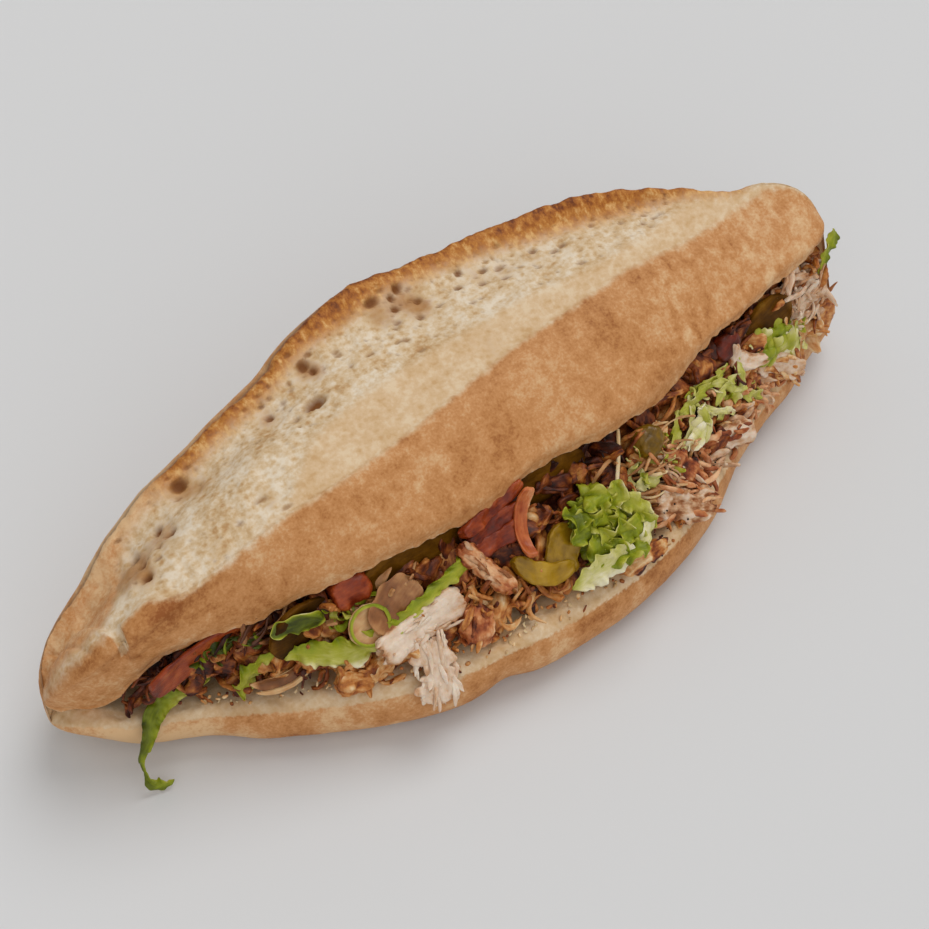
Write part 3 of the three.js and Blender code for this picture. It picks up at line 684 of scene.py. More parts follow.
def food_material(name, roughness, wet, radius, fibre, mottle, *stops, shine=0.25):
    """Moist food: the tone attribute, with fibres along each piece and blotches, picks the colour from the
    stops. Fibre is their width, stretch and share; mottle is the blotches' size and share; shine is the
    specular level."""
    material, tree, shader = new_material(
        name, Roughness=roughness, Specular_IOR_Level=shine, Subsurface_Weight=0.15,
    )
    shader.inputs["Subsurface Radius"].default_value = radius
    shader.inputs["Subsurface Scale"].default_value = 0.5
    shader.inputs["Coat Weight"].default_value = wet
    shader.inputs["Coat Roughness"].default_value = 0.2
    own = add(tree, "ShaderNodeAttribute", out=1, attribute_name="local")
    stretched = add(tree, "ShaderNodeMapping", {"Vector": own, "Scale": (1 / fibre[1], 1, 1)})
    fibres = noise(tree, stretched, fibre[0], 4, 0.65)
    blotch = noise(tree, own, mottle[0], 3)
    tone = weighted(tree, carried(tree, "tone"), (blotch, 2 * mottle[1]), (fibres, 2 * fibre[2]))
    tone = calc(tree, "SUBTRACT", tone, mottle[1] + fibre[2])
    tree.links.new(ramp(tree, tone, *stops), shader.inputs["Base Color"])
    bump = add(
        tree, "ShaderNodeBump", {"Height": fibres, "Strength": 0.7, "Distance": 1.3 * fibre[2] / METRE},
    )
    tree.links.new(bump, shader.inputs["Normal"])
    return material


# Roast chicken: wet, fibrous muscle, cream inside, caramel to dark brown where the spit seared it.
FLESH = (0.003, 0.0014, 0.0007)
roast_meat = food_material(
    "spit_roast_chicken", 0.5, 0.08, FLESH, (0.9, 3, 0.3), (4, 0.4),
    (0.0, "e6caa0"), (0.2, "d3a168"), (0.4, "bb7635"), (0.6, "894416"), (0.8, "54200a"), (1.0, "2c0e05"),
)
white_meat = food_material(
    "roast_chicken_breast", 0.6, 0.0, FLESH, (0.7, 2.5, 0.22), (2.6, 0.3),
    (0.0, "e6d3bf"), (0.3, "d8bda3"), (0.5, "c79c76"), (0.7, "985d33"), (1.0, "4c200c"),
)
seared_meat = food_material(
    "seared_chicken", 0.5, 0.08, FLESH, (0.9, 3, 0.3), (3.5, 0.4),
    (0.0, "dfb084"), (0.3, "c07a48"), (0.55, "95491f"), (0.8, "59200a"), (1.0, "2a0e04"),
)


CHUNK_MESH, SLICE_MESH = 100, 70  # rows and columns of one piece


def seed_of(name, size):
    """Seed of a piece, from its name and its length."""
    return sum(map(ord, name)) + int(size)


def outwardness(flat, size):
    """How far out each point of an unbent body lies: 0 in its middle and 1 at its outline."""
    centre = flat - flat.mean((1, 2), keepdims=True)
    return np.maximum(np.abs(centre[..., 0]) / size[0] * 2, np.abs(centre[..., 1]) / size[1] * 2)


def meat(
    name, slot, material, size, angles=(), tone=0.2, rim=0.3, lumpy=0.5, cavity=0.35, rough=0.8,
    at=(0, 0, 0), **shape,
):
    """One slice or chunk of chicken on its solid's place: a torn morsel with fibres along it and lumps. It is
    browner by rim towards its outline, and its hollows are darkened by painted shade, as strong as the
    argument after lumpy."""
    seed = seed_of(name, size[0])
    middle, axes = seat(name, *angles)
    loops, flat = morsel(*size, rows=CHUNK_MESH, columns=CHUNK_MESH, seed=seed, **shape)
    fibres = grains(flat, (0.5, (7, 1.5, 1.5), seed + 5), (0.3, (4, 0.8, 0.8), seed + 6))
    lumps = grains(flat, (1, 5, seed + 7), (0.6, 2.4, seed + 8))
    specks = grains(flat, (0.5, 1.2, seed + 9), (0.3, 0.7, seed + 10))
    depth = fibres + lumpy * lumps + 0.6 * specks * lumpy**0.5
    loops = loops + outward(loops) * (depth * rough)[..., None]
    # Painted shade: the tone darkens where the relief dips.
    shade = tone + rim * ease(0.75, 1.1, outwardness(flat, size)) - cavity * depth
    at = axes @ np.array(at, float) + middle
    serve(name, slot, material, [name], placed(loops, at, axes), flat, shade)


def fringe(name, slot, material, angles, count, box, sizes, spread, tone, blunt=2.2):
    """Torn fibres standing off a piece: slim bodies strewn in a box about its seat, within spread degrees of
    its length."""
    seed = seed_of(name, 1)
    draw = np.random.default_rng(seed)
    middle, axes = seat(name, *angles)
    at = np.stack([draw.uniform(*pair, count) for pair in box], -1) @ axes.T + middle
    bent = {key: draw.normal(0, value, count) for key, value in (("curl", 0.5), ("twist", 0.5), ("bow", 0.8))}
    sizes = [draw.uniform(*pair, count) for pair in sizes]
    loops, flat = morsel(*sizes, rows=26, columns=12, torn=0.35, blunt=blunt, seed=seed, **bent)
    rough = grains(flat, (0.3, (5, 0.9, 0.9), seed), (0.15, 1.1, seed + 1))
    loops = loops + outward(loops) * rough[..., None]
    axes = axes @ turns(draw.normal(0, spread, count), draw.normal(0, 20, count), draw.normal(0, 8, count))
    # Painted shade: the tone falls with the relief, so the hollows of the fibres come out darker.
    shade = draw.uniform(*tone, count)[:, None, None] - 0.6 * rough
    serve(name + "_fibres", slot, material, [name], placed(loops, at, axes), flat, shade)


BENDS = "curl", "cup", "twist", "bow", "ruffle"


def shreds(
    name, slot, material, nodes, count, where, sizes, turn, tone, seed, tilt=22, dusk=0.0, mood=0.0,
    foot=0.0, **shape,
):
    """Many small torn bodies of one kind strewn on the open face. Where gives the ranges of x, share and
    lift, sizes those of length, width and thickness, tone the range of colour, and turn its mean and spread.
    The lid's painted shade is added to the tone under the lid, mood is how far the tone follows the heap's
    own, and foot is the lowest share at the left end and in the middle, where the lip is bare. Bends are
    spreads, drawn anew for each body."""
    draw = np.random.default_rng(seed)
    place = np.stack([draw.uniform(*pair, count) for pair in where])
    place[1] = mix(foot * (ease(-60, -90, place[0]) + 0.8 * hill(place[0], 5, 28, 34, 4)), 1, place[1])
    at, axes = slope(*place)
    axes = axes @ turns(draw.normal(*turn, count), draw.normal(0, tilt, count), draw.normal(0, tilt, count))
    bent = {key: draw.normal(0, value, count) for key, value in shape.items() if key in BENDS}
    rest = {key: value for key, value in shape.items() if key not in bent}
    loops, flat = morsel(*(draw.uniform(*pair, count) for pair in sizes), seed=seed, **bent, **rest)
    rough = grains(flat, (0.3, (6, 0.9, 0.9), seed + 5), (0.4, 2.2, seed + 6), (0.2, 1.1, seed + 8))
    rough = rough * np.minimum(1, draw.uniform(*sizes[2], count) / 2.4)[:, None, None]
    loops = loops + outward(loops) * rough[..., None]
    # Painted shade: the tone grows darker towards the lid's edge, where the lid shades the heap.
    shade = draw.uniform(*tone, count) + dusk * ease(0.5, 0.95, place[1]) + mood * heap_tone(place[0])
    # Painted shade: the tone falls with the relief, so on meat, whose colours darken as the tone rises, the
    # hollows come out darker.
    shade = shade[:, None, None] - 0.6 * rough
    serve(name, slot, material, nodes, placed(loops, at, axes), flat, shade)


def patches(prefix, table, **shape):
    """Patches of shreds on the heap: name, slot with material, count, where, sizes, turn and tone of each."""
    for name, (slot, material), count, *look in table:
        shreds(prefix + name, slot, material, HEAP[2], count, *look, len(name) + count, **shape)


def heap_tone(x):
    """How much darker or paler the heap is along the loaf: darkest at the left end, partly painted shade of
    the lid there, and pale at the right.
    """
    places = -140, -108, -85, -50, -28, 0, 40, 72, 100, 125, 148, 170
    return np.interp(x, places, (0.28, 0.25, 0.1, -0.12, 0.15, 0.22, 0.15, 0.0, 0.1, 0.05, -0.1, -0.15))


CORE_LEFT, CORE_RIGHT, CORE_ENDS = -141, 174, (40, 16)
CORE_ROWS, CORE_COLUMNS, CORE_CONTROLS, CORE_INSET = 420, 200, 11, 0.5


def bed_section(x, inset):
    """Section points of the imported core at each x, drawn in from the heap's surface by inset."""
    s = loaf_lines(x)
    middle = (s.front + s.back) / 2
    points = [
        (s.front + 14 + inset, s.lip - 1),
        (mix(s.front + 6, s.edge_y, 0.25) + 6 + inset, mix(s.lip, s.edge_z, 0.22) - 3),
        (mix(s.front + 6, s.edge_y, 0.55) + 6 + inset, mix(s.lip, s.edge_z, 0.5) - 3),
        (mix(s.front + 6, s.edge_y, 0.9) + 7 + inset, mix(s.lip, s.edge_z, 0.85) - 3),
        (s.edge_y + 14 + inset, s.edge_z + 1),
        (middle + 8, s.edge_z + 1),
        (s.back - 24, s.edge_z - 4),
        (s.back - 20, mix(s.lip, s.edge_z, 0.5)),
        (s.back - 26, s.lip - 3),
        (middle, s.lip - 6),
        (s.front + 24, s.lip - 4),
    ]
    size = rounded_ends(x, CORE_LEFT, CORE_RIGHT, *CORE_ENDS)
    heart = s.axis + 2, (s.lip + s.edge_z) / 2
    return np.stack([np.stack([x, mix(heart[0], y, size), mix(heart[1], z, size)], -1) for y, z in points], 1)


core_x = spaced(CORE_LEFT + 0.1, CORE_RIGHT - 0.1, CORE_ROWS, lambda x: 1 + 0 * x)
round_core = np.linspace(0, CORE_CONTROLS, CORE_COLUMNS, endpoint=False)
core = closed_spline(bed_section(core_x, CORE_INSET), round_core)
hollows = grains(
    core, (2.2, (11, 7, 7), 31), (1.5, (6, 3, 3), 32), (0.9, (3, 1.6, 1.6), 33), (0.4, (1.5, 0.9, 0.9), 34),
)
core = core + outward(core) * hollows[..., None]
# Painted shade: the core is dark, and darker still in its dents.
shade = 0.62 + heap_tone(core[..., 0]) - 0.12 * hollows
HEAP = "roast_chicken", roast_meat, ["chicken_bed"]
serve("chicken_packed_core", *HEAP, core, core, shade)
FACE = (-128, 168), (0.0, 1.0)
# The heap's shreds are painted darker under the lid, as painted shade.
HEAPED = dict(dusk=0.25, mood=1.0, foot=0.13)
ANY_TURN = 0, 60
shreds(
    "chicken_shavings", *HEAP, 190, (*FACE, (-4, -1)), ((9, 20), (5, 10), (1.8, 3.8)), ANY_TURN, (0.22, 0.6),
    41, **HEAPED, rows=23, columns=16, curl=0.8, cup=1.0, twist=0.4, bow=2, torn=0.3, blunt=3,
)
shreds(
    "chicken_strands", *HEAP, 170, (*FACE, (-2.5, 0)), ((9, 20), (1.2, 2.6), (0.8, 1.5)), ANY_TURN,
    (0.22, 0.65), 42, **HEAPED, rows=22, columns=11, curl=1.0, twist=0.8, bow=2.5, torn=0.45, blunt=6,
)
shreds(
    "chicken_crumbs", *HEAP, 70, (*FACE, (-2.5, 0)), ((1.5, 4), (1.2, 2.6), (0.8, 1.6)), (0, 90),
    (0.22, 0.65), 43, **HEAPED, rows=10, columns=10, torn=0.6,
)

# ---------------------------------------------------------------- chicken slices and chunks
# Larger pieces on the heap's face: pale breast slices, seared outer slices and thick chunks off the same
# spit. They lie where they fell as the loaf was filled, with torn fibres at their edges.
WHITE = "white_chicken", white_meat
BROWN = "browned_chicken", seared_meat
ROAST = "roast_chicken", roast_meat
meat(
    "chicken_slice_white", *WHITE, (36, 11.5, 4.5), (6, 4), 0.22, 0.45, 0.3, 0.25, 0.6, at=(0, 0.9, 0),
    curl=0.2, torn=0.16, blunt=6,
)
meat(
    "chicken_slice_roasted", *BROWN, (26, 7, 4), (-64,), 0.22, 0.5, 0.5, 0.4, 0.7, at=(-2.8, -0.5, 0),
    curl=0.3, torn=0.25, blunt=4,
)
meat(
    "chicken_flake_hanging", *WHITE, (23, 14, 4), (-104, 14), 0.24, 0.2, 0.4, 0.25, 0.6, cup=1.2, torn=0.5,
    blunt=2.6,
)
meat("chicken_lump_roasted", *BROWN, (14, 12, 9), (60,), 0.45, 0.2, 0.8, torn=0.25)
meat(
    "chicken_piece_glazed", *ROAST, (14, 9, 7), (-22,), 0.34, 0.2, 0.8, 0.22, 0.7, at=(-4, 0, 0), torn=0.25,
)
meat("chicken_piece_glazed", *ROAST, (12, 8, 6), (10,), 0.3, 0.2, 0.8, 0.22, 0.7, at=(7, 1, -0.5), torn=0.3)
meat("chicken_piece_peppered", *WHITE, (25, 14, 7), (-25,), 0.5, 0.35, 0.9, 0.35, 0.8, torn=0.4)
meat("chicken_piece_lip", *ROAST, (20, 8, 6), (6,), 0.5, 0.3, 1.0, 0.4, torn=0.4)
meat("chicken_roll", *ROAST, (11, 8, 6), (20,), 0.55, 0.3, 0.6, 0.3, 0.6, at=(-4, 1, 0), torn=0.25)
meat(
    "chicken_roll", *WHITE, (16, 9, 5), (-10,), 0.26, 0.3, 0.5, 0.3, 0.6, at=(5, -1.5, 0), torn=0.3,
    blunt=4,
)
meat(
    "chicken_slice_right_white", *WHITE, (19, 7, 3.5), (-45,), 0.22, 0.35, 0.4, 0.25, 0.6, curl=0.6, bow=4,
    torn=0.3,
)
meat(
    "chicken_slice_right_pink", *WHITE, (25, 11, 4.5), (-30,), 0.36, 0.3, 0.5, 0.3, 0.6, curl=0.4, torn=0.3,
)
meat("chicken_shavings_brown", *BROWN, (22, 9, 5), (-60,), 0.4, 0.3, 1.2, 0.4, torn=0.5)
meat("chicken_shavings_end", *WHITE, (22, 20, 10), (20,), 0.42, 0.1, 1.4, 0.2, at=(-1, 0, -1), torn=0.35)
LONG, SHORT = ((8, 14), (1.2, 2.4), (0.8, 1.4)), ((6, 11), (1.4, 3.0), (1.0, 2.0))
for name, chunk, angles, count, box, sizes, spread, tone in [
    ("chicken_slice_white", WHITE, (6, 4), 16, ((-15, 13), (-5.5, 5.5), (0.6, 1.6)), LONG, 7, (0.15, 0.5)),
    ("chicken_slice_roasted", WHITE, (-64,), 8, ((-12, 7), (-3, 2), (0.8, 2)), LONG, 8, (0.45, 0.7)),
    ("chicken_flake_hanging", WHITE, (-104, 14), 26, ((-9, 12), (-6.5, 6.5), (-0.5, 1.6)), LONG, 13,
     (0.1, 0.42)),
    ("chicken_lump_roasted", ROAST, (60,), 9, ((-5, 5), (-5, 5), (1, 4)), SHORT, 30, (0.25, 0.8)),
    ("chicken_piece_glazed", ROAST, (-22,), 9, ((-12, 13), (-2, 7), (0, 2)), SHORT, 40, (0.2, 0.5)),
    ("chicken_piece_peppered", BROWN, (-25,), 12, ((-12, 12), (-7, 7), (0, 2.6)), LONG, 25, (0.0, 0.55)),
    ("chicken_roll", BROWN, (-20,), 8, ((-9, 9), (-4, 4), (0, 3)), SHORT, 30, (0.2, 0.8)),
    ("chicken_slice_right_pink", ROAST, (-30,), 12, ((-11, 11), (-5, 5), (0.5, 2)), SHORT, 25, (0.1, 0.6)),
    ("chicken_shavings_end", WHITE, (20,), 26, ((-12, 9), (-10, 11), (1, 4)), LONG, 60, (0.25, 0.55)),
]:
    fringe(name, *chunk, angles, count, box, sizes, spread, tone)
# Shreds torn off those pieces, each patch where the spit knife left it.
STRIP = dict(rows=26, columns=12, curl=1.1, twist=0.7, bow=2.5, torn=0.3, blunt=4)
patches("chicken_", [
    ("orange_shreds", ROAST, 18, ((-27, -13), (0.15, 0.6), (0, 3)), ((7, 15), (1.2, 2.4), (0.8, 1.6)),
     (60, 35), (0.2, 0.65)),
    ("red_brown_shreds", BROWN, 34, ((60, 86), (0.05, 0.5), (0, 3)), ((12, 24), (1.1, 2.4), (0.8, 1.5)),
     (-50, 22), (-0.1, 0.6)),
    ("pink_shreds", WHITE, 12, ((60, 80), (0.1, 0.5), (1, 3.5)), ((9, 18), (0.9, 1.8), (0.7, 1.3)),
     (-50, 25), (0.35, 0.65)),
    ("end_shreds", WHITE, 34, ((139, 162), (0.3, 1.0), (-1, 2)), ((9, 19), (1.8, 4), (1, 1.8)), (20, 50),
     (0.25, 0.52)),
    ("end_browned", ROAST, 16, ((139, 162), (0.3, 1.0), (-0.5, 1.5)), ((8, 17), (1.6, 3.4), (0.8, 1.6)),
     (20, 50), (0.2, 0.65)),
    ("sauced_shreds", BROWN, 20, ((116, 146), (-0.25, 0.2), (-1, 2)), ((5, 12), (1.4, 3), (0.8, 1.8)),
     (0, 50), (0.0, 0.65)),
    ("saucy_middle", BROWN, 30, ((86, 122), (0.1, 0.7), (-1, 1.5)), ((7, 15), (1.6, 3.6), (0.8, 1.8)),
     (0, 60), (0.1, 0.75)),
    # Very dark shreds at the left end under the lid: meat, painted dark as the lid's shade there.
    ("left_end", ROAST, 26, ((-140, -118), (0.42, 1.0), (-2, 1)), ((7, 14), (1.6, 3.6), (0.8, 1.6)),
     (20, 25), (0.55, 0.95)),
    ("lip_shreds_left", ROAST, 14, ((-100, -62), (0.08, 0.3), (-1, 0.5)),
     ((5, 12), (1.4, 2.6), (0.8, 1.5)), (0, 30), (0.45, 0.85)),
    ("lip_shreds_middle", ROAST, 10, ((-36, 60), (0.05, 0.18), (-1, 1)),
     ((5, 12), (1.4, 2.8), (0.8, 1.6)), (0, 50), (0.3, 0.85)),
    ("rim_shreds", BROWN, 20, ((94, 146), (-0.2, 0.1), (-0.5, 1)), ((9, 19), (1.3, 2.8), (0.9, 1.6)),
     (10, 35), (-0.05, 0.45)),
    ("rim_pale_shreds", WHITE, 16, ((84, 146), (-0.2, 0.12), (0, 1.5)), ((10, 20), (1.8, 4), (1, 1.8)),
     (10, 35), (0.35, 0.55)),
], **STRIP)

# ---------------------------------------------------------------- lettuce
# Iceberg and curly leaf lettuce, washed and torn: thin crisp sheets, yellow green at the frilled edge and
# nearly white at the rib.
def thickened(sheet, thick):
    """Closed loops round a sheet of points: its upper side, then its lower side backwards."""
    normal = unit(np.cross(np.gradient(sheet, axis=-3), np.gradient(sheet, axis=-2)))
    half = normal * np.asarray(thick)[..., None] / 2
    return np.concatenate([sheet + half, (sheet - half)[..., ::-1, :]], axis=-2)


def both_sides(values, axis=1):
    """A sheet's numbers or colours repeated for both of its sides, as thickened orders them."""
    return np.concatenate([values, np.flip(values, axis)], axis=axis)


def curve(points, count):
    """Open uniform cubic B-spline through the ends of a list of points, as count points."""
    points = np.array(points, float)
    padded = np.concatenate([2 * points[:1] - points[1:2], points, 2 * points[-1:] - points[-2:-1]])
    where = np.linspace(0, len(points) - 1 - 1e-6, count)
    low = np.floor(where).astype(int)
    t = (where - low)[:, None]
    return sum(w / 6 * padded[low + k] for k, w in enumerate(spline_weights(t)))


# Lettuce leaf: waxy and translucent, from dark olive, which also paints the shade in the folds, to the rib's
# cream.
lettuce = food_material(
    "lettuce_leaf", 0.42, 0.0, (0.004, 0.004, 0.001), (1.0, 5, 0.16), (5, 0.22),
    (0.0, "343b05"), (0.22, "626c0c"), (0.4, "879016"), (0.55, "a09f2c"), (0.7, "bab65c"), (0.85, "d6cc92"),
    (1.0, "e8dfba"),
)
LETTUCE = "lettuce", lettuce
FINE = 170  # stations along a strip of leaf


def laid(path):
    """Points of a path of (x, share, lift) on the open face, and the way out of the face along it."""
    at, axes = slope(*np.array(path).T)
    return at, curve(axes[..., 2], FINE)


def ribbons(name, strips, ruffle=1.6, waves=9.0, frill=0.8, columns=30, seed=0, node=None, torn=1.0):
    """Torn strips of leaf, each along a path, facing its way out, as wide as its widths say along it. The
    sheets wave by ruffle towards both edges and crinkle by frill, and their edges are torn by torn."""
    made = []
    for k, (path, out, widths, tone) in enumerate(strips, seed):
        line = curve(path, FINE)
        tangent = unit(np.gradient(line, axis=0))
        out = unit(out - tangent * np.sum(out * tangent, -1, keepdims=True))
        side = np.cross(out, tangent)
        u = np.linspace(0, 1, FINE)[:, None]
        v = np.linspace(-1, 1, columns)[None]
        run = np.concatenate([[0], np.cumsum(np.linalg.norm(np.diff(line, axis=0), axis=-1))])[:, None]
        half = np.interp(u, np.linspace(0, 1, len(widths)), widths) / 2
        half = half * (1 - (2 * np.abs(u - 0.5)) ** 30) ** 0.5
        flat = np.stack([run + 0 * v, v * half, 0 * (run + v)], -1)
        flat = flat + np.random.default_rng(k).uniform(0, 300, 3)
        across = np.stack([run + 0 * v, 3.0 * v + 0 * run, 0 * (run + v)], -1) + k
        half = half * (1 + torn * grains(across, (0.22, (5, 2.5, 9), k), (0.16, (1.7, 2.5, 9), k + 1)))
        phase = 2 * np.pi * (run / waves + 0.3 * grain(across, (14, 3, 9), k + 2))
        swing = np.sin(phase + 1.3 * np.sign(v)) + 0.4 * np.sin(2.3 * phase + 2 * v)
        wave = ruffle * np.abs(v) ** 1.4 * swing * np.minimum(1, half / 2.5)
        crinkle = grains(flat, (1, 3.0, k + 3), (0.4, 1.3, k + 4))
        wave = wave + frill * (0.35 + 0.65 * v**2) * crinkle
        sheet = line[:, None] + side[:, None] * (half * v)[..., None] + out[:, None] * wave[..., None]
        loops = thickened(sheet, 0.5 * (1 - 0.5 * v**2) + 0 * run)
        # Painted light and shade: the tone is paler on the waves' crests and darker in their troughs.
        made.append((loops, both_sides(flat), both_sides(tone(u, v) + 0.06 * wave + 0 * run)))
    serve(name, *LETTUCE, [node or name], *(np.stack(part) for part in zip(*made)))


TRAIL = [
    (-112, -16, 31), (-117, -17, 30), (-124, -15, 29.5), (-130.5, -15, 29), (-136, -17.5, 28.5),
    (-139, -21, 24), (-142.8, -23, 20.5), (-145.2, -23.5, 17), (-144.6, -24.5, 11), (-144.6, -26, 6),
    (-142, -28.5, 3.2), (-136.6, -28.5, 3.4),
]
outside = unit(np.linspace([0, -0.6, 0.8], [-0.8, -0.8, 0.35], FINE))
TRAIL_WIDTHS = 1.5, 2.5, 4, 7.5, 7, 5, 3.4, 2.0, 0.8, 4.2, 5, 0.8


def trailing_tone(u, v):
    """Darkest in the middle of its length, and paler along one edge."""
    return 0.26 + 0.16 * v + 0.16 * ease(0.35, 0.2, u) + 0.1 * ease(0.75, 1, u)


strip = (TRAIL, outside, TRAIL_WIDTHS, trailing_tone)
ribbons("lettuce_trailing_leaf", [strip], 1.1, 7, 1.1, seed=3, torn=0.6)

path = [
    (-106.3, 0.0, 2), (-105.5, 0.2, 3), (-102, 0.45, 4), (-98, 0.56, 4), (-93, 0.57, 4), (-87, 0.53, 4),
    (-80, 0.42, 4), (-72, 0.33, 4.5), (-63, 0.41, 4.5), (-55, 0.46, 4), (-46, 0.55, 4), (-38, 0.63, 4),
    (-29, 0.69, 4), (-21, 0.76, 3.5),
]
WIDTHS = 1, 7.5, 7, 4, 3.4, 5, 9, 11.5, 9, 6, 4.6, 4.6, 5, 8


def ribbon_tone(u, v):
    """Yellow green, with a pale lower frill and a translucent tan middle where the ribbon is broad."""
    broad = ease(0.36, 0.5, u) * ease(0.72, 0.6, u)
    return 0.46 + 0.1 * ease(0.3, 0.0, u) + broad * (0.16 * (1 - v**2) + 0.3 * ease(-0.5, -1, v)) - 0.12 * v


ribbons("lettuce_long_ribbon", [(*laid(path), WIDTHS, ribbon_tone)], 1.5, 8, 1.3, seed=8)

END = [(161.5, -9.5, 54), (163.5, -8, 60), (167.5, -5.5, 64.5), (173.5, -3, 66)]
END_WAY = np.tile([0.3, -0.8, 0.5], (FINE, 1))
ribbons(
    "lettuce_end_leaf", [(END, END_WAY, (3, 3, 5, 7), lambda u, v: 0.36 + 0.15 * v)], 0.8, 6, 0.9, seed=14,
    torn=0.35,
)
middle, axes = seat("lettuce_folded_leaf", -18, 10)
fold = np.array([(-10, -2, 0), (-6, 0, 0.5), (0, 1, 1), (6, 1, 0.5), (10, -1, 0)]) @ axes.T + middle
pocket_way = np.tile(axes[:, 2], (FINE, 1))


def folded_tone(u, v):
    """Dark inside the fold, which is painted shade, with a pale line round its edge."""
    return 0.08 + 0.56 * np.maximum(np.abs(v) ** 5, ease(0.88, 0.98, u))


ribbons("lettuce_folded_leaf", [(fold, pocket_way, (2, 6, 9, 8, 3), folded_tone)], -1.6, 30, 0.4, seed=15)

# Cut strips in the tangle at the right: stations of their middles on the open face, width, and pale or green.
CUT_STRIPS = [
    ([(79, 0.72, 2), (85, 0.7, 3.5), (91, 0.77, 3.5), (98, 0.72, 3)], 4.0, 0.5),
    ([(97, 0.74, 3), (103, 0.66, 4), (108, 0.45, 4), (107, 0.28, 3)], 4.0, 0.58),
    ([(112, 0.78, 2), (113, 0.58, 3.5), (111, 0.4, 3), (113, 0.3, 2)], 4.5, 0.62),
    ([(113, 0.28, 2.5), (118, 0.14, 3), (124, 0.04, 2)], 5.0, 0.55),
    ([(80, 0.74, 1), (74, 0.6, 3), (68, 0.5, 3), (64, 0.5, 2)], 3.5, 0.55),
    ([(49, 0.5, 2), (54, 0.46, 3.5), (59, 0.42, 2.5)], 5.0, 0.66),
    ([(90, 0.62, 2), (94, 0.45, 4), (101, 0.38, 4.5), (105, 0.22, 3)], 3.0, 0.75),
    ([(84, 0.8, 1), (93, 0.78, 2), (101, 0.73, 2.5), (108, 0.78, 2)], 3.0, 0.52),
    ([(96, 0.5, 3), (100, 0.62, 5), (107, 0.62, 4), (112, 0.56, 3)], 3.2, 0.58),
    ([(72, 0.42, 3), (79, 0.5, 4), (84, 0.66, 4), (86, 0.8, 2)], 2.6, 0.7),
]
strips = []
for path, width, green in CUT_STRIPS:
    widths = 0.6 * width, width, 0.8 * width, width, 0.5 * width
    strips.append((*laid(path), widths, lambda u, v, t=green: t + 0.07 + 0.2 * v * (u - 0.3)))
ribbons("lettuce_right_shreds", strips, 1.2, 8, 0.9, columns=12, seed=30, torn=0.4)


def crumpled(name, node, angles, table, seed, rows=58):
    """Blades of leaf, each an oval sheet with a ragged rim, thrown into folds of two sizes that grow towards
    the rim. Its points slide down the folds' slopes, so that the backs are round and the creases narrow.
    The table gives x, y, lift, length, width, turn, tilt and tone."""
    px, py, pz, length, width, turn, tilt, tone = (c[:, None, None] for c in np.array(table, float).T)
    u = np.linspace(-1, 1, rows)[None, :, None] + 0 * px
    v = np.linspace(-1, 1, rows)[None, None] + 0 * u
    u, v = u * np.sqrt(1 - v**2 / 2), v * np.sqrt(1 - u**2 / 2)
    rim = np.maximum(np.hypot(u, v), 1e-3)
    offset = np.random.default_rng(seed).uniform(0, 300, (len(table), 1, 1, 3))
    ring = np.stack([9 * u / rim, 9 * v / rim, 0 * u], -1) + offset
    jag = 1 + rim**2 * grains(ring, (0.2, 3.2, seed), (0.14, 1.1, seed + 1))
    flat = np.stack([u * jag * length / 2, v * jag * width / 2, 0 * u], -1)

    def height(points):
        """Lift of the folds over points of the flat leaf."""
        folds = grains(points, (2.0, 5.0, seed + 2), (1.1, 2.3, seed + 3))
        return (0.4 + 0.6 * rim) * folds + 1.8 * rim**3 * grain(points, 2.2, seed + 4)

    field = flat + offset
    z = height(field)
    step = 0.3
    fall = np.stack([height(field + step * np.eye(3)[k]) - z for k in (0, 1)] + [0 * z], -1) / step
    sheet = flat - 0.9 * np.clip(fall, -1.4, 1.4)
    sheet[..., 2] = z - 0.18 * np.minimum(length, width) * rim**2
    middle, axes = seat(node, *angles)
    at = np.concatenate([px, py, pz], -1)[:, 0] @ axes.T + middle
    sheet = placed(sheet, at, axes @ turns(turn[:, 0, 0], tilt[:, 0, 0]))
    # Painted shade and light: darker in the creases, paler on the crests and towards the rim.
    shade = tone + 0.11 * z + 0.25 * rim**4
    sheet = thickened(sheet, 0.4 + 0 * z)
    serve(name, *LETTUCE, [node], sheet, both_sides(field, 2), both_sides(shade, 2))


CURLY = [
    (-3, 5, -2, 24, 25, 0, 0, 0.16), (-1, 12, -1, 18, 13, -25, -8, 0.24),
    (0, -5, -0.5, 15, 12, 15, 10, 0.28), (-10, 7, 0, 11, 10, 30, 20, 0.2),
    (7, 8, 0, 12, 10, -30, -20, 0.32), (3, 0, 0.5, 12, 10, 60, 15, 0.3),
]
crumpled("lettuce_curly_leaf", "lettuce_curly_leaf", (-8,), CURLY, 5)
middle, axes = seat("lettuce_curly_leaf", -8)
# Its frills: short strips standing nearly on edge, painted brighter towards both edges and darker along the
# middle, as painted light and shade.
draw = np.random.default_rng(78)
strips = []
for px, py in [
    (-10, 11), (-3, 14), (5, 13), (10, 9), (-12, 4), (-4, 7), (4, 7), (-8, -1), (0, 1), (8, 1), (-2, -6),
    (5, -7),
]:
    angle, reach, bend = draw.uniform(-1.5, 1.5), draw.uniform(4, 8), draw.uniform(-4, 4)
    ahead, across = np.array([np.cos(angle), np.sin(angle), 0]), np.array([-np.sin(angle), np.cos(angle), 0])
    path = np.array([ahead * reach * k + across * bend * k * k + (px, py, 2.8) for k in (-1, -0.4, 0.4, 1)])
    way = np.tile(axes @ (across * draw.uniform(-0.8, 0.8) + (0, 0, 0.7)), (FINE, 1))
    shade = 0.42 + 0.007 * px + draw.uniform(-0.12, 0.12)
    strips.append((path @ axes.T + middle, way, (3, 7, 9, 7, 4), lambda u, v, t=shade: t + 0.2 * v**2 - 0.08))
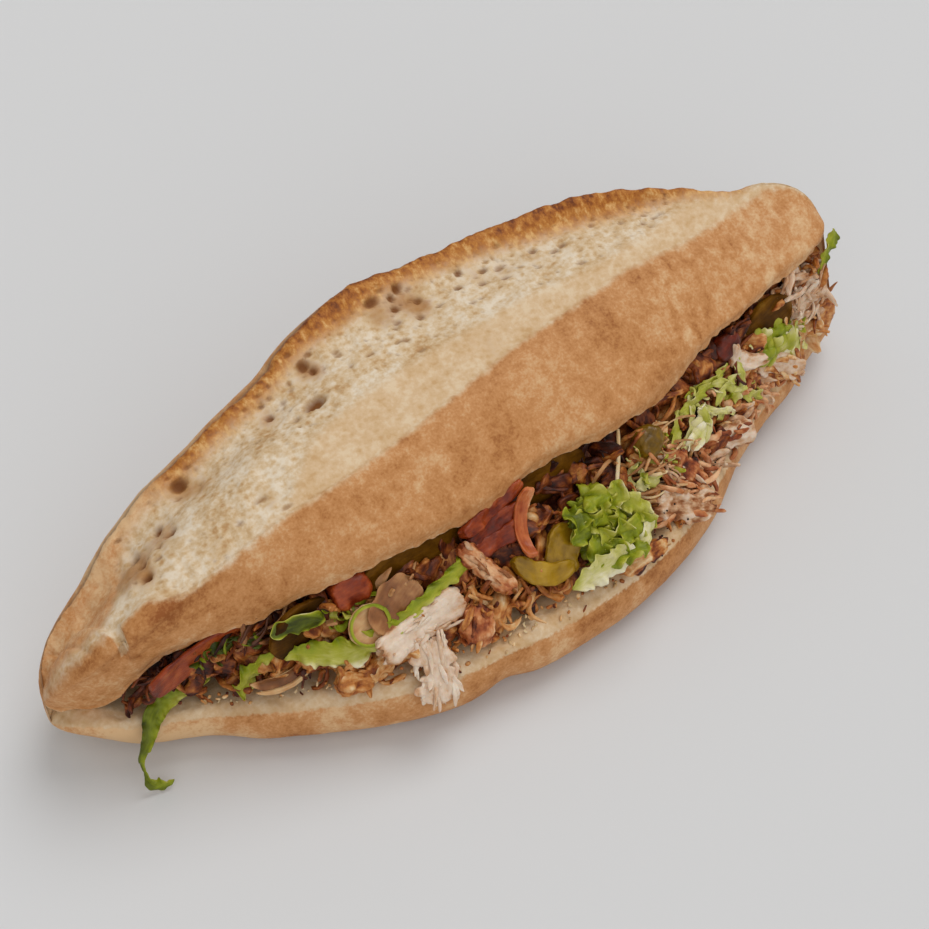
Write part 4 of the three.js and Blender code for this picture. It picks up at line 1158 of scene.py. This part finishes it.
ribbons("lettuce_curly_leaf_frills", strips, 1.9, 7, 2.0, columns=16, seed=61, node="lettuce_curly_leaf")
BASE_PATH = [
    (-21, -12.5, 0), (-16.5, -11, 1.5), (-10.6, -10, 2.5), (-5, -9.2, 3), (0.8, -7.4, 3), (5, -5, 2.5),
]
RIB_PATH = [(8, -8.5, 1), (11, -4.5, 2.5), (13.4, -0.9, 2.8), (16.5, 6, 2)]
way = np.tile(axes @ (-0.2, -0.5, 0.85), (FINE, 1))


def base_tone(u, v):
    """Cream, greener at the leaf's foot."""
    return 0.86 - 0.2 * ease(0.25, 0, u) - 0.14 * v


strips = [
    (np.array(BASE_PATH) @ axes.T + middle, way, (3, 8, 12, 12, 9, 4), base_tone),
    (np.array(RIB_PATH) @ axes.T + middle, way, (3.5, 5, 4.5, 2), lambda u, v: 0.86 + 0.08 * v),
]
ribbons("lettuce_curly_leaf_ribs", strips, 1.0, 8, 0.7, seed=51, node="lettuce_curly_leaf")
RIGHT = [
    (-7, 6, 0, 23, 16, 25, 0, 0.34), (-11, 7, 1.5, 14, 11, 40, 0, 0.38), (-2, 5, 2, 13, 10, -10, 0, 0.46),
    (1, -1, 1, 12, 9, 40, 0, 0.55), (4, -6, 0, 10, 7, 20, 0, 0.72), (-10, 2, 3.5, 14, 11, 20, 0, 0.4),
]
crumpled("lettuce_right_leaf", "lettuce_right_leaf", (10,), RIGHT, 12)
RIBBED = [
    (-3, -0.5, 3, 14, 8, 60, 0, 0.72), (-7, -2.5, 2.5, 12, 5, 20, 0, 0.66),
    (-1, 3.5, 3.5, 10, 4, 100, 0, 0.62),
]
crumpled("lettuce_ribbed_piece", "lettuce_right_shreds", (0,), RIBBED, 6)
LEAF = dict(rows=26, columns=12, curl=1.2, twist=1.2, bow=2.5, ruffle=0.5, torn=0.35, blunt=9)
patches("lettuce_", [
    ("dark_bits", LETTUCE, 26, ((-119, -95), (0.7, 0.95), (-1, 2)), ((5, 12), (1.4, 3), (0.5, 0.8)), (20, 40),
     (0.0, 0.35)),
    ("pale_bits", LETTUCE, 10, ((-74, -58), (0.5, 0.85), (-1, 2)), ((7, 14), (1.4, 3), (0.5, 0.8)), (-30, 50),
     (0.3, 0.8)),
    ("middle_bits", LETTUCE, 14, ((50, 70), (0.35, 0.8), (0, 2.5)), ((7, 15), (1.4, 2.6), (0.5, 0.8)),
     (30, 50), (0.35, 0.8)),
    ("right_bits", LETTUCE, 10, ((86, 118), (0.3, 0.85), (0, 3)), ((8, 16), (1.6, 3), (0.5, 0.8)), (10, 50),
     (0.45, 0.8)),
    ("far_bits", LETTUCE, 12, ((138, 152), (0.1, 0.6), (1, 4)), ((6, 12), (1.6, 3.2), (0.5, 0.8)), (30, 60),
     (0.4, 0.8)),
], **LEAF)

# ---------------------------------------------------------------- tomato
# Ripe tomato cut in strips and wedges: taut glossy skin outside, wet flesh inside. The pieces are held
# only by what is packed round them.
tomato = food_material(
    "ripe_tomato", 0.36, 0.12, (0.004, 0.001, 0.0005), (1.2, 5, 0.25), (5, 0.35),
    (0.0, "320d03"), (0.3, "6c2108"), (0.55, "9a4016"), (0.8, "c06a35"), (1.0, "d8a070"),
)


def slice_of(name, slot, material, size, angles=(), tone=0.5, lumpy=0.25, edge=0.0, at=(0, 0, 0), **shape):
    """One cut piece of vegetable on its solid's place: a smooth morsel, its tone growing by edge outwards."""
    seed = seed_of(name, size[0])
    middle, axes = seat(name, *angles)
    loops, flat = morsel(*size, rows=SLICE_MESH, columns=SLICE_MESH, seed=seed, **shape)
    lumps = lumpy * grains(flat, (1, 5, seed + 5), (0.5, 2.2, seed + 6), (0.2, 1, seed + 7))
    loops = loops + outward(loops) * lumps[..., None]
    # Painted shade: the tone rises with the lumps, so the dips come out darker.
    shade = tone + edge * ease(0.7, 1.0, outwardness(flat, size)) + 0.2 * lumps
    at = axes @ np.array(at, float) + middle
    serve(name, slot, material, [name], placed(loops, at, axes), flat, shade)


RED = "tomato", tomato
slice_of(
    "tomato_strip_left", *RED, (45, 14, 3), (6, 20), 0.56, 0.3, -0.2, at=(0, 0.6, 0.5), curl=0.25, cup=1,
    torn=0.08, blunt=4.5,
)
slice_of(
    "tomato_strip_middle", *RED, (27, 5, 2), (66, 0, 0), 0.68, 0.25, 0.1, at=(0.5, 2.5, 0), bow=-2,
    curl=0.9, cup=0.8, torn=0.1, blunt=6,
)
slice_of(
    "tomato_wedge_upper", *RED, (29, 6, 5), (14, 20), 0.42, 0.6, at=(0, 3.5, 0), curl=0.4, cup=1, bow=1.5,
    torn=0.1, blunt=4,
)
slice_of(
    "tomato_wedge_upper", *RED, (26, 6.5, 4), (8, 10), 0.3, 0.7, at=(-1, -3, 0), curl=0.3, cup=1, bow=-1,
    torn=0.12, blunt=4,
)
slice_of("tomato_wedge_lower", *RED, (22, 7, 4.5), (4,), 0.38, 0.7, curl=0.3, cup=1, torn=0.12, blunt=3.4)
slice_of("tomato_piece_left", *RED, (15, 12, 9), (0,), 0.42, 0.5, torn=0.1)
slice_of("tomato_piece_right", *RED, (12, 9, 7), (25,), 0.22, 0.5, torn=0.1)

# ---------------------------------------------------------------- pickles
# Gherkins sliced across, about three millimetres thick: dark skin at the rim, translucent olive flesh.
# Two lie open on the meat, and two are tucked in under the lid's edge.
pickle = food_material(
    "pickled_gherkin", 0.5, 0.0, (0.003, 0.003, 0.001), (1.2, 3, 0.2), (6, 0.3),
    (0.0, "2a1600"), (0.3, "4f2e00"), (0.6, "734a0c"), (0.85, "947228"), (1.0, "b09c48"),
    shine=0.08,
)
SLICE = dict(torn=0.06, blunt=2, corner=0.4)
OLIVE = "pickle", pickle
slice_of("pickle_slice_left", *OLIVE, (27, 22, 3.2), (4, 22, 6), 0.12, 0.25, 0.3, **SLICE)
slice_of("pickle_slice_right", *OLIVE, (23, 21, 3.2), (20, 6), 0.28, 0.25, 0.3, **SLICE)
slice_of("pickle_slice_under_lid", *OLIVE, (45, 23, 3.2), (0, 35), 0.4, 0.35, -0.2, **SLICE)
slice_of("pickle_slice_under_lid_middle", *OLIVE, (32, 19, 3.2), (0, 35), 0.4, 0.35, -0.2, **SLICE)

# ---------------------------------------------------------------- pickled peppers
# Mild long peppers in brine: thin, glossy, hollow walls gone soft. A yellow one is bent round at its end,
# and a green one shows as a round slice.
pepper = food_material(
    "pickled_pepper", 0.3, 0.12, (0.004, 0.003, 0.0006), (1.6, 4, 0.2), (5, 0.3),
    (0.0, "3a2804"), (0.3, "74540a"), (0.55, "9f7912"), (0.8, "ba9430"), (1.0, "d0b25e"),
)
LONG_PEPPER = "pepper_yellow", "pickled_pepper", pepper
slice_of(
    *LONG_PEPPER, (23, 8.5, 6), (-30,), 0.55, 0.5, at=(-0.5, -3.5, 0.5), bow=4, cup=1.5, torn=0.1, blunt=3,
)
slice_of(
    *LONG_PEPPER, (19, 14, 5), (50,), 0.55, 0.7, at=(4.8, -6.6, 0), bow=-2, cup=2, torn=0.12, blunt=2.6,
)
slice_of(
    "pepper_green_round", "pickled_pepper", pepper, (13, 12, 10), (30,), 0.26, 0.7, torn=0.04, blunt=2,
    corner=1,
)

# ---------------------------------------------------------------- onion
# Cooked onion, tan and limp: a ring, a petal with a green rim, and strands, some of them stained purple.
# It was sliced before it was cooked, and lies over the meat and the leaves.
onion = food_material(
    "soft_onion", 0.4, 0.1, (0.004, 0.002, 0.001), (1.1, 9, 0.12), (5, 0.3),
    (0.0, "55301c"), (0.3, "8f5c35"), (0.55, "bd8a58"), (0.8, "d8b886"), (1.0, "e6d2ac"),
)
RING = "onion_ring", "onion", onion
slice_of(*RING, (23, 6, 1.6), (-4,), 0.2, 0.3, 0.5, bow=3, cup=2.2, torn=0.08, blunt=1.8)
slice_of(*RING, (22, 2, 1.6), (-4,), 0.62, 0.2, at=(0, -2.6, 1.4), bow=3.4, torn=0.1, blunt=1.8)
PETAL = "onion_petal", "onion", onion
slice_of(
    *PETAL, (22, 17, 1.6), (32,), 0.3, 0.35, 0.15, at=(-1.5, 0, 1.7), curl=0.4, cup=1.0, torn=0.1, blunt=3,
)
slice_of(
    *PETAL, (16, 15, 1.2), (10,), 0.58, 0.2, 0.1, at=(-12.5, 0, 0.8), curl=0.3, cup=1.0, torn=0.06, blunt=2,
)
middle, axes = seat("onion_petal", 10)
# The petal's rim: a thin strip laid round it, a little over one turn.
ring = [(-12.5 + 7.6 * np.cos(a), 7.1 * np.sin(a), 2.1) for a in np.linspace(0, 6.6, 12)] @ axes.T + middle
strip = (ring, np.tile(axes[:, 2], (FINE, 1)), (1.3, 1.0, 1.4), lambda u, v: 0.42 + 0.1 * v)
ribbons("onion_petal_rim", [strip], 0.2, 9, 0.3, seed=70, node="onion_petal", torn=0.3)
ONION = "onion", onion
STRAND = dict(rows=30, columns=10, curl=0.8, twist=1.2, bow=2.5, torn=0.15, blunt=8)
patches("onion_shreds_", [
    ("pale", ONION, 20, ((38, 78), (0.3, 0.85), (1, 4)), ((14, 28), (0.8, 1.4), (0.7, 1.0)), (10, 30),
     (0.35, 0.9)),
    ("purple", ONION, 12, ((-102, -88), (0.7, 1.0), (0.5, 3)), ((8, 14), (1, 2), (0.8, 1.2)), (30, 40),
     (-0.2, 0.4)),
    ("brown", ONION, 14, ((-72, -40), (0.55, 0.95), (-2, 0.5)), ((8, 18), (3, 7), (0.8, 1.2)), (0, 40),
     (0.1, 0.6)),
], **STRAND)

# ---------------------------------------------------------------- crumbs and pepper
# Crumbs of bread and meat that fell on the lip, and coarse black pepper on the chicken. Juice holds them
# where they landed.
crumb_bread = food_material(
    "bread_crumb", 0.8, 0.0, FLESH, (0.6, 1, 0.3), (2, 0.3), (0.0, "b07c46"), (0.4, "c9a574"),
    (1.0, "dac39a"),
)
peppercorn = food_material(
    "black_pepper", 0.7, 0.0, FLESH, (0.5, 1, 0.3), (1, 0.3), (0.0, "17100b"), (1.0, "4a3423"),
)
BIT = dict(rows=7, columns=8, torn=0.4)
LIP = (-125, 150), (-0.16, 0.06), (-1.2, 0.2)
shreds(
    "bread_crumbs", "bread", crumb_bread, ["bread"], 150, LIP, ((0.6, 1.9), (0.5, 1.4), (0.4, 1.0)),
    (0, 90), (0, 1), 91, **BIT,
)
shreds("meat_crumbs", *HEAP, 120, LIP, ((0.8, 2.6), (0.6, 1.6), (0.5, 1.1)), (0, 90), (0.1, 0.8), 92, **BIT)
SPECKS = (40, 90), (-0.1, 0.5), (2, 5)
shreds(
    "pepper_specks", "roast_chicken", peppercorn, HEAP[2], 40, SPECKS, ((0.5, 1.1), (0.4, 0.8), (0.3, 0.6)),
    (0, 90), (0, 0.6), 93, **BIT,
)

# ---------------------------------------------------------------- stage
# A wide pale floor under a white sky, with a high sun at the right and behind and a wide soft one at the
# left in front. The camera looks down on the open front from the left.
FLOOR = 6.0  # half its side, in metres
floor_mesh = bpy.data.meshes.new("floor")
corners = [(-FLOOR, -FLOOR, 0), (FLOOR, -FLOOR, 0), (FLOOR, FLOOR, 0), (-FLOOR, FLOOR, 0)]
floor_mesh.from_pydata(corners, [], [(0, 1, 2, 3)])
floor = bpy.data.objects.new("floor", floor_mesh)
bpy.context.scene.collection.objects.link(floor)
material, tree, shader = new_material("floor", Base_Color=linear("d6d6d6"), Roughness=0.9)
floor_mesh.materials.append(material)

SKY = 0.42
world = bpy.data.worlds.new("studio")
bpy.context.scene.world = world
world.use_nodes = True
world.node_tree.nodes["Background"].inputs["Color"].default_value = (1, 1, 1, 1)
world.node_tree.nodes["Background"].inputs["Strength"].default_value = SKY
LIGHTS = [("key", (0.45, 0.15, 0.85), 0.7, 1.25), ("fill", (-0.25, -0.75, 0.6), 1.4, 0.85)]
for name, way, angle, energy in LIGHTS:
    lamp = bpy.data.lights.new(name, "SUN")
    lamp.angle, lamp.energy = angle, energy
    light = bpy.data.objects.new(name, lamp)
    bpy.context.scene.collection.objects.link(light)
    light.rotation_euler = Vector(way).to_track_quat("Z", "Y").to_euler()

camera = bpy.data.objects.new("camera", bpy.data.cameras.new("camera"))
bpy.context.scene.collection.objects.link(camera)
bpy.context.scene.camera = camera
AZIMUTH, ELEVATION, DISTANCE = np.radians(-35), np.radians(52), 0.8
AIM = 5, 0, 45  # point in the loaf's own frame that the camera looks at
target = Vector((AIM + SHIFT) / METRE)
back = Vector((np.sin(AZIMUTH) * np.cos(ELEVATION), -np.cos(AZIMUTH) * np.cos(ELEVATION), np.sin(ELEVATION)))
camera.location = target + back * DISTANCE
camera.rotation_euler = back.to_track_quat("Z", "Y").to_euler()
SENSOR, LENS = 36, 86.803  # millimetres
camera.data.sensor_width, camera.data.lens = SENSOR, LENS
bpy.context.scene.view_settings.view_transform = "Standard"
